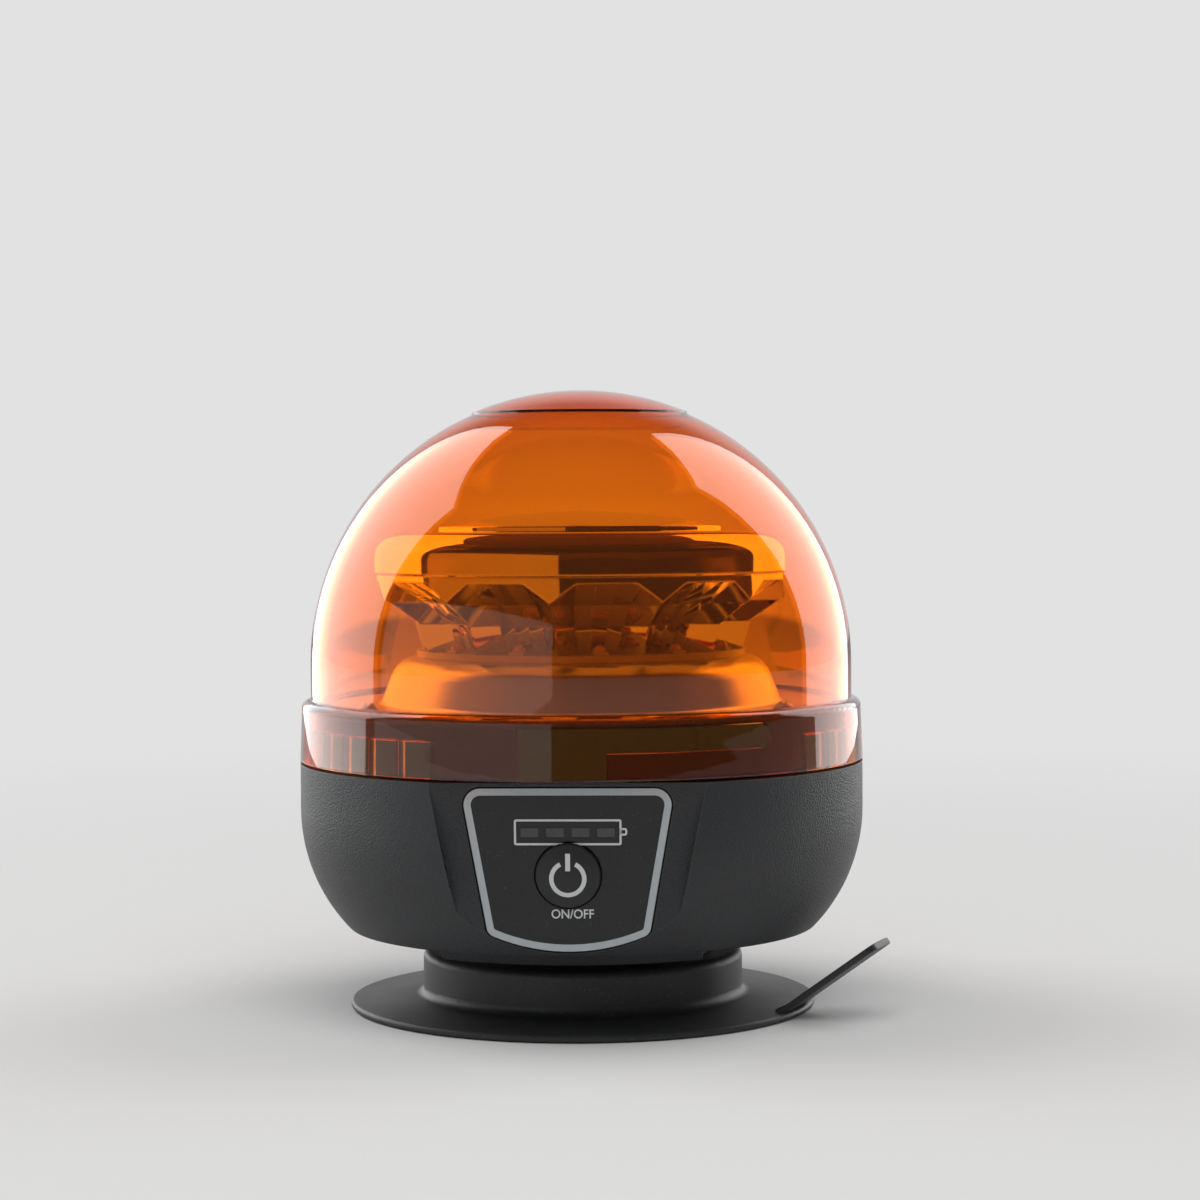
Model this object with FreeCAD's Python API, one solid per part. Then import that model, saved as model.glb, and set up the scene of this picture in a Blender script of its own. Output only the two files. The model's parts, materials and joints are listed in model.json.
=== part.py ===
import FreeCAD, Part
import math
import os

from FreeCAD import Placement, Rotation, Vector

os.makedirs("parts", exist_ok=True)

# Portable warning beacon: magnetic rubber foot, bowl base with a front panel, and a bayonet dome
# over a mirror crown. Millimetres, +Z up. The origin is the centre of the flat underside of the
# rubber foot, and the panel faces -Y.

# Base bowl
base_radius = 65.0
rim_z = 56.6
bowl_bottom_z = 18.4
bowl_straight_height = 10.7
bowl_floor_edge_inset = 11.24
bowl_corner_round = 1.5
bowl_wall = 2.5
bowl_floor = 2.8
chin_drop = 2.0
chin_half_width = 28.5
chin_inner_y = -38.0
chin_inset = 0.2
chin_round = 0.8
facet_setback = 7.2
facet_tilt = 4.0
facet_half_width = 25.7
facet_side_angle = 11.6
facet_overrun = 12.0

# Lens dome and its bayonet collar
seam_gap = 0.7
collar_flare = 0.05
collar_taper = 0.4
collar_height = 11.8
shoulder_round = 2.0
dome_inset = 2.5
dome_centre_rise = 21.8
dome_wall = 2.5
collar_wall = 3.2
groove_depth = 1.4
top_disc_radius = 24.9
top_disc_step = 0.4
top_disc_round = 0.25
bayonet_count = 3
bayonet_entry_start = -9.4
bayonet_entry_width = 17.3
bayonet_turn = 35.0
channel_height = 5.6
channel_drop = 0.8
lug_side_play = 0.5
lug_play = 0.4
lug_tip_play = 0.35
rib_start = -67.7
rib_pitch = 8.2
rib_count = 6
rib_width = 1.1
rib_pocket_height = 7.9

# Chassis that carries the light unit and plugs into the bowl
spigot_play = 0.6
spigot_wall = 2.5
plug_play = 0.3
plug_depth = 5.6
deck_thickness = 2.5
deck_below_ledge = 1.0
seal_width = 1.8
seal_play = 0.3
cable_hole_radius = 6.0
chassis_screw_count = 4
chassis_screw_turn = 45.0
chassis_screw_circle = 52.0
chassis_tube_radius = 4.5
chassis_post_radius = 4.0
chassis_post_gap = 4.6
chassis_screw_head_radius = 2.9
chassis_screw_head = 2.0
chassis_screw_radius = 1.5
chassis_screw_length = 15.0
chassis_seat = 3.0
screw_play = 0.05
head_play = 0.5

# Light unit: heat sink bell, light board, mirror crown and cap
sink_edge_play = 1.8
sink_sheet = 2.0
sink_flange = 1.6
sink_top_round = 6.4
sink_side_angle = 22.0
sink_height = 12.4
sink_screw_count = 3
rear_turn = 180.0
sink_screw_circle = 53.0
sink_screw_radius = 1.25
sink_screw_head_radius = 2.6
sink_screw_head = 1.8
sink_screw_length = 8.0
sink_boss_radius = 3.2
board_thickness = 1.6
light_board_lip = 0.2
light_board_margin = 3.5
cup_count = 12
cup_turn = 10.0
light_circle = 34.5
light_size = 3.5
light_base = 0.7
light_dome_radius = 1.5
crown_reach = 12.8
crown_height = 17.3
crown_band = 1.5
crown_bore_inset = 10.5
crown_top_plate = 3.2
cup_focal = 3.65
cup_focus_rise = 0.5
cup_row_levels = (0.0, 0.4, 0.7, 1.0)
cup_flutes = 3
cup_flute_depth = 0.3
cup_foot_half_width = 4.4
cup_top_half_width = 6.65
cup_side_angle = 45.0
crown_screw_count = 3
crown_screw_inset = 6.5
crown_screw_radius = 1.25
crown_screw_head_radius = 2.4
crown_screw_head = 1.9
crown_screw_depth = 9.0
cap_overhang = 0.5
cap_height = 9.6
cap_edge_round = 5.8
cap_seam_chamfer = 0.4
cap_disc_inset = 14.8
cap_disc_step = 1.2
cap_crown_rise = 3.6
cap_wall = 2.4

# Control panel on the front facet, measured from the middle of the button
button_drop = 20.0
panel_top = 18.9
panel_side_bottom = -12.9
panel_bottom = -16.75
panel_top_half_width = 23.05
panel_bottom_half_width = 17.5
panel_top_round = 3.7
panel_bottom_round = 2.5
panel_thickness = 1.2
panel_gap = 0.25
panel_sink = 0.1
panel_window_half_width = 14.0
panel_window_above = 2.6
panel_window_bottom = -10.0
button_radius = 7.0
button_play = 0.3
button_lip = 0.65
button_lip_thickness = 1.0
button_proud = 0.7
button_crown = 0.9
button_stem_radius = 2.2
button_stem = 0.8
button_travel = 0.8
button_stop_gap = 0.3
charge_count = 4
charge_pitch = 5.46
charge_width = 3.87
charge_height = 2.0
charge_gap = 0.9
charge_play = 0.05
guide_margin = 0.9
guide_thickness = 2.5
control_board_width = 42.0
control_board_height = 24.0
control_board_depth = 8.5
control_post_radius = 3.0
control_post_spread = 17.6
control_post_rise = 2.0
switch_size = 6.0
switch_height = 3.0
switch_pin_radius = 1.75
control_led_width = 2.0
control_led_height = 1.2
small_screw_radius = 1.1
small_screw_head_radius = 2.1
small_screw_head = 1.4
small_screw_length = 5.0

# Cells, cradle and driver board inside the bowl
cell_radius = 9.15
cell_length = 65.0
cell_nub_radius = 2.8
cell_nub = 1.0
cell_half_gap = 11.85
cell_play = 0.1
cradle_floor = 1.6
cradle_wall = 1.5
cradle_side_play = 0.4
cradle_height = 15.0
cradle_corner_round = 5.0
cradle_end_room = 1.5
cradle_hub_play = 1.0
cradle_post_play = 0.4
cradle_screw_spread = 24.0
cradle_hole_depth = 1.7
contact_size = 9.0
contact_sheet = 0.8
contact_nub_radius = 2.0
contact_nub = 0.5
driver_radius = 44.0
driver_drop = 8.3
driver_post_count = 3
driver_post_circle = 38.0
driver_post_radius = 3.0
driver_part_circle = 24.0
coil_turn = 60.0
coil_radius = 6.0
coil_height = 6.0
capacitor_radius = 4.0
capacitor_height = 7.4
capacitor_count = 3
capacitor_first_turn = 140.0
capacitor_step = 40.0
chip_size = 9.0
chip_height = 1.6

# Charging inlet on the back of the bowl
inlet_drop = 18.6
inlet_pad_side = 3.3
inlet_pad_low_side = 2.3
inlet_pad_high_side = 3.5
inlet_pad_depth = 6.6
flap_radius = 8.6
flap_play = 0.6
flap_thickness = 2.0
flap_gap = 0.3
flap_sink = 0.1
flap_nub_radius = 2.4
flap_nub = 2.0
flap_lip = 1.4
hinge_beyond_flap = 3.4
hinge_pin_radius = 0.75
hinge_play = 0.05
hinge_knuckle_radius = 1.5
hinge_width = 7.4
hinge_pin_overlap = 2.3
socket_flange_radius = 7.0
socket_flange = 1.2
socket_barrel_radius = 5.0
socket_barrel = 11.4
socket_bore_radius = 3.2
socket_bore = 9.6
socket_pin_radius = 1.0
socket_pin_setback = 2.4
socket_nut_width = 14.0
socket_nut = 3.0

# Magnet and rubber foot
boot_radius = 53.8
boot_edge = 1.6
boot_flange_rise = 2.6
boot_collar_radius = 37.0
boot_collar_fillet = 2.0
boot_rim_round = 1.8
boot_gap = 5.6
boot_floor = 1.2
boot_wall = 4.0
boot_lip = 2.0
magnet_play = 0.1
pot_rim = 2.9
pot_pole_radius = 12.0
pot_back = 3.5
magnet_inset = 0.2
bolt_radius = 3.95
bolt_hole_play = 0.35
bolt_depth = 8.5
bolt_head_width = 13.0
bolt_head = 5.3
washer_radius = 9.0
washer_thickness = 1.6
foot_pad_radius = 30.0
hub_radius = 12.5
hub_height = 3.0

# Lift tab moulded on the flange of the foot
tab_angle = -20.0
tab_root_radius = 52.6
tab_rise_angle = 36.0
tab_length = 24.9
tab_width = 14.0
tab_thickness = 1.6
tab_corner_round = 2.5
tab_gap = 0.3

# Places worked out from the sizes above
lens_bottom_z = rim_z + seam_gap
shoulder_z = lens_bottom_z + collar_height
dome_radius = base_radius - dome_inset
dome_inner_radius = dome_radius - dome_wall
dome_centre_z = lens_bottom_z + dome_centre_rise
collar_foot_radius = base_radius + collar_flare
collar_top_radius = base_radius - collar_taper
collar_inner_radius = base_radius - collar_wall
groove_radius = collar_inner_radius + groove_depth
ledge_z = shoulder_z + seal_play
spigot_radius = collar_inner_radius - spigot_play
spigot_bottom_z = rim_z + plug_play
deck_z = ledge_z - deck_below_ledge
deck_under_z = deck_z - deck_thickness
channel_top_z = ledge_z - channel_drop
channel_bottom_z = channel_top_z - channel_height
bayonet_end = bayonet_entry_start + bayonet_entry_width + bayonet_turn
bowl_inner_radius = base_radius - bowl_wall
floor_z = bowl_bottom_z + bowl_floor
chin_z = bowl_bottom_z - chin_drop
post_top_z = rim_z - chassis_post_gap
sink_top_z = deck_z + sink_height
light_board_radius = light_circle + light_board_margin
sink_top_radius = light_board_radius - light_board_lip
sink_flange_z = deck_z + sink_flange
light_board_z = sink_top_z + board_thickness
crown_top_z = light_board_z + crown_height
crown_radius = light_circle + crown_reach
crown_bore_radius = light_circle - crown_bore_inset
crown_screw_circle = light_circle - crown_screw_inset
driver_top_z = deck_under_z - driver_drop
facet_wall_y = -(base_radius - facet_setback)
pocket_w = -panel_thickness - panel_sink
charge_rise = button_radius + button_play + charge_gap + charge_height / 2
panel_window_top = charge_rise + charge_height / 2 + panel_window_above
control_board_w = -control_board_depth
boot_top_z = bowl_bottom_z - boot_gap
boot_pocket_radius = boot_collar_radius - boot_wall
boot_lip_z = boot_top_z - boot_lip
pot_radius = boot_pocket_radius - magnet_play
pot_bottom_z = boot_floor
pot_top_z = boot_lip_z - magnet_play
hub_top_z = floor_z + hub_height
washer_top_z = hub_top_z + washer_thickness
cell_z = floor_z + cradle_floor + cell_play + cell_radius
cell_offset = cell_radius + cell_half_gap
inlet_z = rim_z - inlet_drop
hinge_rise = flap_radius + hinge_beyond_flap
inlet_pad_half_width = flap_radius + flap_play + inlet_pad_side
inlet_pad_below = flap_radius + flap_play + inlet_pad_low_side
inlet_pad_above = hinge_rise + inlet_pad_high_side
inlet_pad_y = base_radius - inlet_pad_depth
flap_outer_y = base_radius - flap_sink
flap_inner_y = flap_outer_y - flap_thickness
socket_front_y = flap_inner_y - flap_gap
socket_seat_y = socket_front_y - socket_flange
hinge_z = inlet_z + hinge_rise
hinge_y = flap_outer_y - flap_thickness / 2 - flap_sink
reach = 4 * base_radius

up = Vector(0, 0, 1)
back = Vector(0, 1, 0)
across = Vector(1, 0, 0)
axis_point = Vector(0, 0, 0)


def profile_wire(start, *steps):
    """Closed outline in the XZ plane: a step is a point, or an arc given by a point on it and its end."""
    here = Vector(start[0], 0, start[1])
    first = here
    edges = []
    for step in steps:
        if isinstance(step[0], tuple):
            mid = Vector(step[0][0], 0, step[0][1])
            end = Vector(step[1][0], 0, step[1][1])
            edges.append(Part.Arc(here, mid, end).toShape())
        else:
            end = Vector(step[0], 0, step[1])
            edges.append(Part.LineSegment(here, end).toShape())
        here = end
    edges.append(Part.LineSegment(here, first).toShape())
    return Part.Wire(edges)


def turned(start, *steps):
    """Solid of revolution about Z from a closed outline of radius and height."""
    return Part.Face(profile_wire(start, *steps)).revolve(axis_point, up, 360)


def arc_between(centre, radius, start_angle, end_angle):
    """Middle and end points of an arc about a centre, for an outline step."""
    mid_angle = math.radians((start_angle + end_angle) / 2)
    last_angle = math.radians(end_angle)
    mid = (centre[0] + radius * math.cos(mid_angle), centre[1] + radius * math.sin(mid_angle))
    end = (centre[0] + radius * math.cos(last_angle), centre[1] + radius * math.sin(last_angle))
    return mid, end


def disc(radius, low, high, x=0.0, y=0.0):
    """Upright cylinder between two heights."""
    return Part.makeCylinder(radius, high - low, Vector(x, y, low), up)


def ring(inner, outer, low, high):
    """Upright tube between two heights."""
    return disc(outer, low, high).cut(disc(inner, low, high))


def block(width, depth, height, centre_x, centre_y, low):
    """Upright box centred in plan."""
    return Part.makeBox(width, depth, height, Vector(centre_x - width / 2, centre_y - depth / 2, low))


def around(angle, radius):
    """Plan point at an angle counted from the front (-Y) towards +X."""
    turn = math.radians(angle)
    return radius * math.sin(turn), -radius * math.cos(turn)


def sector(inner, outer, low, high, start, end):
    """Piece of a ring between two angles counted from the front towards +X."""
    face = Part.makePlane(outer - inner, high - low, Vector(inner, 0, low), Vector(0, -1, 0), across)
    piece = face.revolve(axis_point, up, end - start)
    piece.rotate(axis_point, up, start - 90)
    return piece


def round_ended_sector(inner, outer, low, high, start, end):
    """Ring sector whose far end is a half round, like a milled slot or its key."""
    half = (high - low) / 2
    centre_angle = end - math.degrees(half / outer)
    x, y = around(centre_angle, inner)
    direction = Vector(x, y, 0).normalize()
    round_end = Part.makeCylinder(half, outer - inner, Vector(x, y, (low + high) / 2), direction)
    return sector(inner, outer, low, high, start, centre_angle).fuse(round_end).removeSplitter()


def hexagon(width, low, high):
    """Upright hexagon prism given by its width across flats."""
    corner = width / math.sqrt(3)
    points = []
    for k in range(7):
        turn = math.radians(60 * k)
        points.append(Vector(corner * math.cos(turn), corner * math.sin(turn), low))
    return Part.Face(Part.makePolygon(points)).extrude(Vector(0, 0, high - low))


def repeated(piece, count, first_angle=0.0):
    """Copies of a piece turned evenly about Z."""
    copies = []
    for k in range(count):
        copy = piece.copy()
        copy.rotate(axis_point, up, first_angle + 360 * k / count)
        copies.append(copy)
    return copies


def round_edges(solid, radius, wanted):
    """Fillet the edges whose middle point passes a test."""
    chosen = [edge for edge in solid.Edges if wanted(edge.CenterOfMass, edge)]
    return solid.makeFillet(radius, chosen)


def save(name, *solids):
    """Write one node: a single solid, or a group of like solids."""
    shape = solids[0] if len(solids) == 1 else Part.makeCompound(list(solids))
    shape.exportStep("parts/" + name + ".step")


def on_facet(solid):
    """Carry a solid from facet axes (x across, y up the facet, z out of it) to its place on the bowl."""
    tilt = math.radians(facet_tilt)
    origin = Vector(0, facet_wall_y + button_drop * math.tan(tilt), rim_z - button_drop)
    placed = solid.copy()
    placed.Placement = Placement(origin, Rotation(across, 90 + facet_tilt)).multiply(placed.Placement)
    return placed


def half_space_behind_facet(depth):
    """Everything that lies further in than a plane parallel to the front facet."""
    slab = Part.makeBox(2 * reach, 2 * reach, reach, Vector(-reach, -reach, -reach - depth))
    return on_facet(slab)


# Base bowl: one arc runs from the straight wall into the floor; the front is cut to a tilted flat facet
# between two slanted side walls, and under the facet a shallow chin hangs below the floor.
bowl_turn_z = rim_z - bowl_straight_height
bowl_arc_height = bowl_turn_z - bowl_bottom_z
bowl_arc_radius = (bowl_floor_edge_inset ** 2 + bowl_arc_height ** 2) / (2 * bowl_floor_edge_inset)
bowl_arc_centre = (base_radius - bowl_arc_radius, bowl_turn_z)


def bowl_form(inset, low):
    """Solid bowl whose wall lies a given distance inside the outer one."""
    radius = bowl_arc_radius - inset
    drop = bowl_turn_z - low
    foot_angle = -math.degrees(math.asin(drop / radius))
    curve = arc_between(bowl_arc_centre, radius, 0, foot_angle)
    wall = base_radius - inset
    return turned((0, low), (0, rim_z), (wall, rim_z), (wall, bowl_turn_z), curve)


def panel_blank(grow, low, high):
    """Panel plate outline, grown evenly, between two depths on the facet."""
    corner = Vector(panel_bottom_half_width + grow, panel_side_bottom, low)
    top = Vector(panel_top_half_width + grow, panel_top + grow, low)
    lowest = Vector(0, panel_bottom - grow, low)
    left_corner = Vector(-corner.x, corner.y, low)
    left_top = Vector(-top.x, top.y, low)
    edges = [
        Part.Arc(left_corner, lowest, corner).toShape(),
        Part.LineSegment(corner, top).toShape(),
        Part.LineSegment(top, left_top).toShape(),
        Part.LineSegment(left_top, left_corner).toShape(),
    ]
    plate = Part.Face(Part.Wire(edges)).extrude(Vector(0, 0, high - low))
    plate = round_edges(plate, panel_top_round + grow, lambda p, e: is_upright(e) and p.y > 0)
    return round_edges(plate, panel_bottom_round + grow, lambda p, e: is_upright(e) and p.y < 0)


def is_upright(edge):
    """True for a straight edge parallel to the local Z axis."""
    first = edge.Vertexes[0].Point
    last = edge.Vertexes[-1].Point
    return abs(first.x - last.x) < 1e-6 and abs(first.y - last.y) < 1e-6


bowl_outer = bowl_form(0, bowl_bottom_z)
bowl_outer = round_edges(bowl_outer, bowl_corner_round, lambda p, e: e.BoundBox.ZMax < bowl_bottom_z + 0.01)
facet_slant = math.tan(math.radians(facet_side_angle))
facet_top = button_drop + facet_overrun
facet_low = panel_bottom - facet_overrun
facet_top_half = facet_half_width + facet_slant * facet_top
facet_low_half = facet_half_width + facet_slant * facet_low
facet_outline = Part.makePolygon([
    Vector(-facet_low_half, facet_low, 0),
    Vector(facet_low_half, facet_low, 0),
    Vector(facet_top_half, facet_top, 0),
    Vector(-facet_top_half, facet_top, 0),
    Vector(-facet_low_half, facet_low, 0),
])
facet_cut = Part.Face(facet_outline).extrude(Vector(0, 0, reach))
bowl_outer = bowl_outer.cut(on_facet(facet_cut))
bowl_cavity = bowl_form(bowl_wall, floor_z).common(half_space_behind_facet(bowl_wall))
base = bowl_outer.cut(bowl_cavity)

window_height = panel_window_top - panel_window_bottom
panel_window = Part.makeBox(
    2 * panel_window_half_width,
    window_height,
    2 * bowl_wall,
    Vector(-panel_window_half_width, panel_window_bottom, -2 * bowl_wall),
)
panel_pocket = panel_blank(panel_gap, pocket_w, bowl_wall)
base = base.cut(on_facet(panel_pocket)).cut(on_facet(panel_window))

control_posts = []
for side in (-1, 1):
    foot = Vector(side * control_post_spread, control_post_rise, control_board_w)
    post = Part.makeCylinder(control_post_radius, control_board_depth - bowl_wall / 2, foot)
    hole = Part.makeCylinder(small_screw_radius + screw_play, small_screw_length, foot)
    post = post.cut(panel_pocket).cut(hole)
    control_posts.append(on_facet(post))

chassis_x, chassis_y = around(chassis_screw_turn, chassis_screw_circle)
post = disc(chassis_post_radius, bowl_bottom_z + bowl_floor / 2, post_top_z, chassis_x, chassis_y)
post_hole_z = post_top_z - chassis_screw_length
post = post.common(bowl_outer)
post = post.cut(disc(chassis_screw_radius + screw_play, post_hole_z, post_top_z, chassis_x, chassis_y))
bowl_posts = repeated(post, chassis_screw_count)

inlet_pad = block(
    2 * inlet_pad_half_width,
    2 * inlet_pad_depth,
    inlet_pad_below + inlet_pad_above,
    0,
    inlet_pad_y + inlet_pad_depth,
    inlet_z - inlet_pad_below,
).common(bowl_outer)
hub = disc(hub_radius, bowl_bottom_z, hub_top_z)
foot_pad = disc(foot_pad_radius, pot_top_z, floor_z)
chin_block = block(
    2 * chin_half_width,
    base_radius + chin_inner_y,
    chin_drop + bowl_floor / 2,
    0,
    (chin_inner_y - base_radius) / 2,
    chin_z,
)
chin = bowl_form(chin_inset, chin_z).common(chin_block)
chin = round_edges(chin, chin_round, lambda p, e: e.BoundBox.ZMax < chin_z + 0.01)
base = base.multiFuse(control_posts + bowl_posts + [inlet_pad, hub, foot_pad, chin]).removeSplitter()

flap_pocket = Part.makeCylinder(flap_radius + flap_play, reach, Vector(0, socket_seat_y, inlet_z), back)
hinge_room = hinge_knuckle_radius + hinge_play + flap_gap
hinge_slot_half = hinge_width / 2 + flap_play
hinge_slot = Part.makeBox(
    2 * hinge_slot_half,
    reach,
    hinge_rise + hinge_room + flap_gap,
    Vector(-hinge_slot_half, hinge_y - hinge_room, inlet_z),
)
pin_half = hinge_slot_half + hinge_pin_overlap
pin_end = Vector(-pin_half, hinge_y, hinge_z)
flap_pin = Part.makeCylinder(hinge_pin_radius, 2 * pin_half, pin_end, across)
socket_hole = Part.makeCylinder(socket_barrel_radius + screw_play, reach, Vector(0, 0, inlet_z), back)
bolt_hole = disc(bolt_radius + bolt_hole_play, 0, hub_top_z)
cradle_hole_z = floor_z - cradle_hole_depth
for solid in (flap_pocket, hinge_slot, flap_pin, socket_hole, bolt_hole):
    base = base.cut(solid)
for side in (-1, 1):
    cradle_hole = disc(small_screw_radius, cradle_hole_z, floor_z, side * cradle_screw_spread)
    base = base.cut(cradle_hole)
save("base_housing", base)

# Lens: hemisphere on a tapered collar, with L-shaped bayonet grooves and rib pockets inside the collar.
top_radius = dome_radius + top_disc_step
step_angle = math.degrees(math.acos(top_disc_radius / dome_radius))
cap_angle = math.degrees(math.acos(top_disc_radius / top_radius))
dome_centre = (0, dome_centre_z)
lens = turned(
    (collar_inner_radius, lens_bottom_z),
    (collar_foot_radius, lens_bottom_z),
    (collar_top_radius, shoulder_z),
    arc_between((collar_top_radius - shoulder_round, shoulder_z), shoulder_round, 0, 90),
    (dome_radius, shoulder_z + shoulder_round),
    (dome_radius, dome_centre_z),
    arc_between(dome_centre, dome_radius, 0, step_angle),
    (top_disc_radius, dome_centre_z + top_radius * math.sin(math.radians(cap_angle))),
    arc_between(dome_centre, top_radius, cap_angle, 90),
    (0, dome_centre_z + dome_inner_radius),
    arc_between(dome_centre, dome_inner_radius, 90, 0),
    (dome_inner_radius, ledge_z),
    (collar_inner_radius, ledge_z),
)
top_edge_z = dome_centre_z + math.sqrt(top_radius ** 2 - top_disc_radius ** 2)
lens = round_edges(lens, top_disc_round, lambda p, e: abs(e.BoundBox.ZMin - top_edge_z) < 0.01
                   and abs(e.BoundBox.ZMax - top_edge_z) < 0.01)

entry_end = bayonet_entry_start + bayonet_entry_width
inside = collar_inner_radius - spigot_play
entry = sector(inside, groove_radius, lens_bottom_z - 1, channel_top_z, bayonet_entry_start, entry_end)
channel = round_ended_sector(
    inside, groove_radius, channel_bottom_z, channel_top_z, bayonet_entry_start, bayonet_end
)
pocket = sector(
    inside,
    groove_radius,
    lens_bottom_z - 1,
    lens_bottom_z + rib_pocket_height,
    rib_start + rib_width / 2,
    rib_start + rib_pitch - rib_width / 2,
)
cutters = repeated(entry.fuse(channel), bayonet_count)
for k in range(rib_count - 1):
    cutters += repeated(pocket, bayonet_count, k * rib_pitch)
lens = lens.cut(cutters)
save("lens_dome", lens)

# Seal that the lens is drawn down on.
save("lens_seal", ring(spigot_radius - seal_width, spigot_radius, deck_z, ledge_z - seal_play))

# Chassis: deck and spigot with three bayonet lugs, a plug that fits the bowl, and screw tubes.
plug_radius = bowl_inner_radius - plug_play
plug = ring(spigot_radius - spigot_wall, plug_radius, rim_z - plug_depth, spigot_bottom_z)
plug = plug.common(half_space_behind_facet(bowl_wall + plug_play))
pad_notch_half = inlet_pad_half_width + plug_play
pad_notch = block(2 * pad_notch_half, base_radius, plug_depth, 0, base_radius, rim_z - plug_depth)
plug = plug.cut(pad_notch)
chassis = ring(spigot_radius - spigot_wall, spigot_radius, spigot_bottom_z, deck_z)
deck = disc(spigot_radius, deck_under_z, deck_z)
lug = round_ended_sector(
    spigot_radius - spigot_wall / 2,
    groove_radius - lug_tip_play,
    channel_bottom_z + lug_play,
    channel_top_z - lug_play,
    bayonet_entry_start + bayonet_turn + lug_side_play,
    bayonet_end - lug_side_play,
)
tube = disc(chassis_tube_radius, post_top_z, deck_under_z, chassis_x, chassis_y)
sink_x, sink_y = around(rear_turn, sink_screw_circle)
sink_boss = disc(sink_boss_radius, deck_under_z - sink_screw_length, deck_under_z, sink_x, sink_y)
driver_x, driver_y = around(rear_turn, driver_post_circle)
driver_post = disc(driver_post_radius, driver_top_z, deck_under_z, driver_x, driver_y)
additions = repeated(lug, bayonet_count) + repeated(tube, chassis_screw_count)
additions += repeated(sink_boss, sink_screw_count) + repeated(driver_post, driver_post_count)
chassis = chassis.multiFuse([plug, deck] + additions).removeSplitter()

seat_z = post_top_z + chassis_seat
tube_bore = disc(chassis_screw_head_radius + head_play, seat_z, deck_z, chassis_x, chassis_y)
tube_hole = disc(chassis_screw_radius + screw_play, post_top_z, deck_z, chassis_x, chassis_y)
sink_hole = disc(sink_screw_radius + screw_play, deck_z - sink_screw_length, deck_z, sink_x, sink_y)
driver_hole_z = driver_top_z + small_screw_length
driver_hole = disc(small_screw_radius + screw_play, driver_top_z, driver_hole_z, driver_x, driver_y)
cuts = repeated(tube_bore.fuse(tube_hole), chassis_screw_count)
cuts += repeated(sink_hole, sink_screw_count) + repeated(driver_hole, driver_post_count)
cuts.append(disc(cable_hole_radius, deck_under_z, deck_z))
chassis = chassis.cut(cuts)
save("chassis", chassis)


def plain_screw(radius, head_radius, head, length, x, y, seat, point_down):
    """Screw with a round head on a seat; it points down into the work or up into it."""
    way = -1 if point_down else 1
    shank = Part.makeCylinder(radius, length, Vector(x, y, seat), Vector(0, 0, way))
    top = Part.makeCylinder(head_radius, head, Vector(x, y, seat), Vector(0, 0, -way))
    return top.fuse(shank).removeSplitter()


chassis_screw = plain_screw(chassis_screw_radius, chassis_screw_head_radius, chassis_screw_head,
                            chassis_screw_length, chassis_x, chassis_y, seat_z, True)
save("chassis_screws", *repeated(chassis_screw, chassis_screw_count))

# Heat sink: pressed bell with a flat top for the light board and a flange on the deck.
sink_round_z = sink_top_z - sink_top_round
sink_edge_radius = dome_inner_radius - sink_edge_play
side_turn = math.radians(sink_side_angle)


def bell_radius(inset, z):
    """Radius of the bell's slanted side at a height, a given distance in from the outer face."""
    offset = (sink_top_round - inset) / math.cos(side_turn)
    return sink_top_radius + offset + (sink_round_z - z) * math.tan(side_turn)


bell_foot_radius = bell_radius(0, sink_flange_z)
sink_round_centre = (sink_top_radius, sink_round_z)
bell_inner_round = sink_top_round - sink_sheet
bell_inner_end = arc_between(sink_round_centre, bell_inner_round, sink_side_angle, sink_side_angle)[1]
sink = turned(
    (cable_hole_radius, sink_top_z),
    (sink_top_radius, sink_top_z),
    arc_between(sink_round_centre, sink_top_round, 90, sink_side_angle),
    (bell_foot_radius, sink_flange_z),
    (sink_edge_radius, sink_flange_z),
    (sink_edge_radius, deck_z),
    (bell_radius(sink_sheet, deck_z), deck_z),
    bell_inner_end,
    arc_between(sink_round_centre, bell_inner_round, sink_side_angle, 90),
    (cable_hole_radius, sink_top_z - sink_sheet),
)
sink = round_edges(sink, sink_flange, lambda p, e: abs(e.BoundBox.ZMax - sink_flange_z) < 0.01
                   and abs(e.BoundBox.XMax - bell_foot_radius) < 0.01)
crown_screw_x, crown_screw_y = around(rear_turn + cup_turn, crown_screw_circle)
flange_hole = disc(sink_screw_radius + screw_play, deck_z, sink_flange_z, sink_x, sink_y)
sink_cuts = repeated(flange_hole, sink_screw_count)
crown_hole = disc(crown_screw_radius + screw_play, deck_z, light_board_z + crown_screw_depth,
                  crown_screw_x, crown_screw_y)
crown_holes = repeated(crown_hole, crown_screw_count)
save("heat_sink", sink.cut(sink_cuts + crown_holes))
sink_screw = plain_screw(sink_screw_radius, sink_screw_head_radius, sink_screw_head,
                         sink_screw_length, sink_x, sink_y, sink_flange_z, True)
save("heat_sink_screws", *repeated(sink_screw, sink_screw_count))

# Light board with its ring of twelve light sources, one at the foot of each mirror cup.
board = disc(light_board_radius, sink_top_z, light_board_z)
board = board.cut(disc(cable_hole_radius, sink_top_z, light_board_z)).cut(crown_holes)
save("led_board", board)
light_x, light_y = around(cup_turn, light_circle)
package = block(light_size, light_size, light_base, 0, 0, light_board_z)
light_dome_foot = Vector(0, 0, light_board_z + light_base)
package = package.fuse(Part.makeSphere(light_dome_radius, light_dome_foot, up, 0, 90, 360))
package.rotate(axis_point, up, cup_turn)
package.translate(Vector(light_x, light_y, 0))
save("leds", *repeated(package, cup_count))

# Mirror crown: each cup is a parabola focused on a light source, built from three rows of mirror bands.


def cup_radius(z):
    """Distance of a cup's middle facets from the axis: a parabola that opens outwards."""
    rise = z - light_board_z - cup_focus_rise
    return light_circle - cup_focal + rise ** 2 / (4 * cup_focal)


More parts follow.
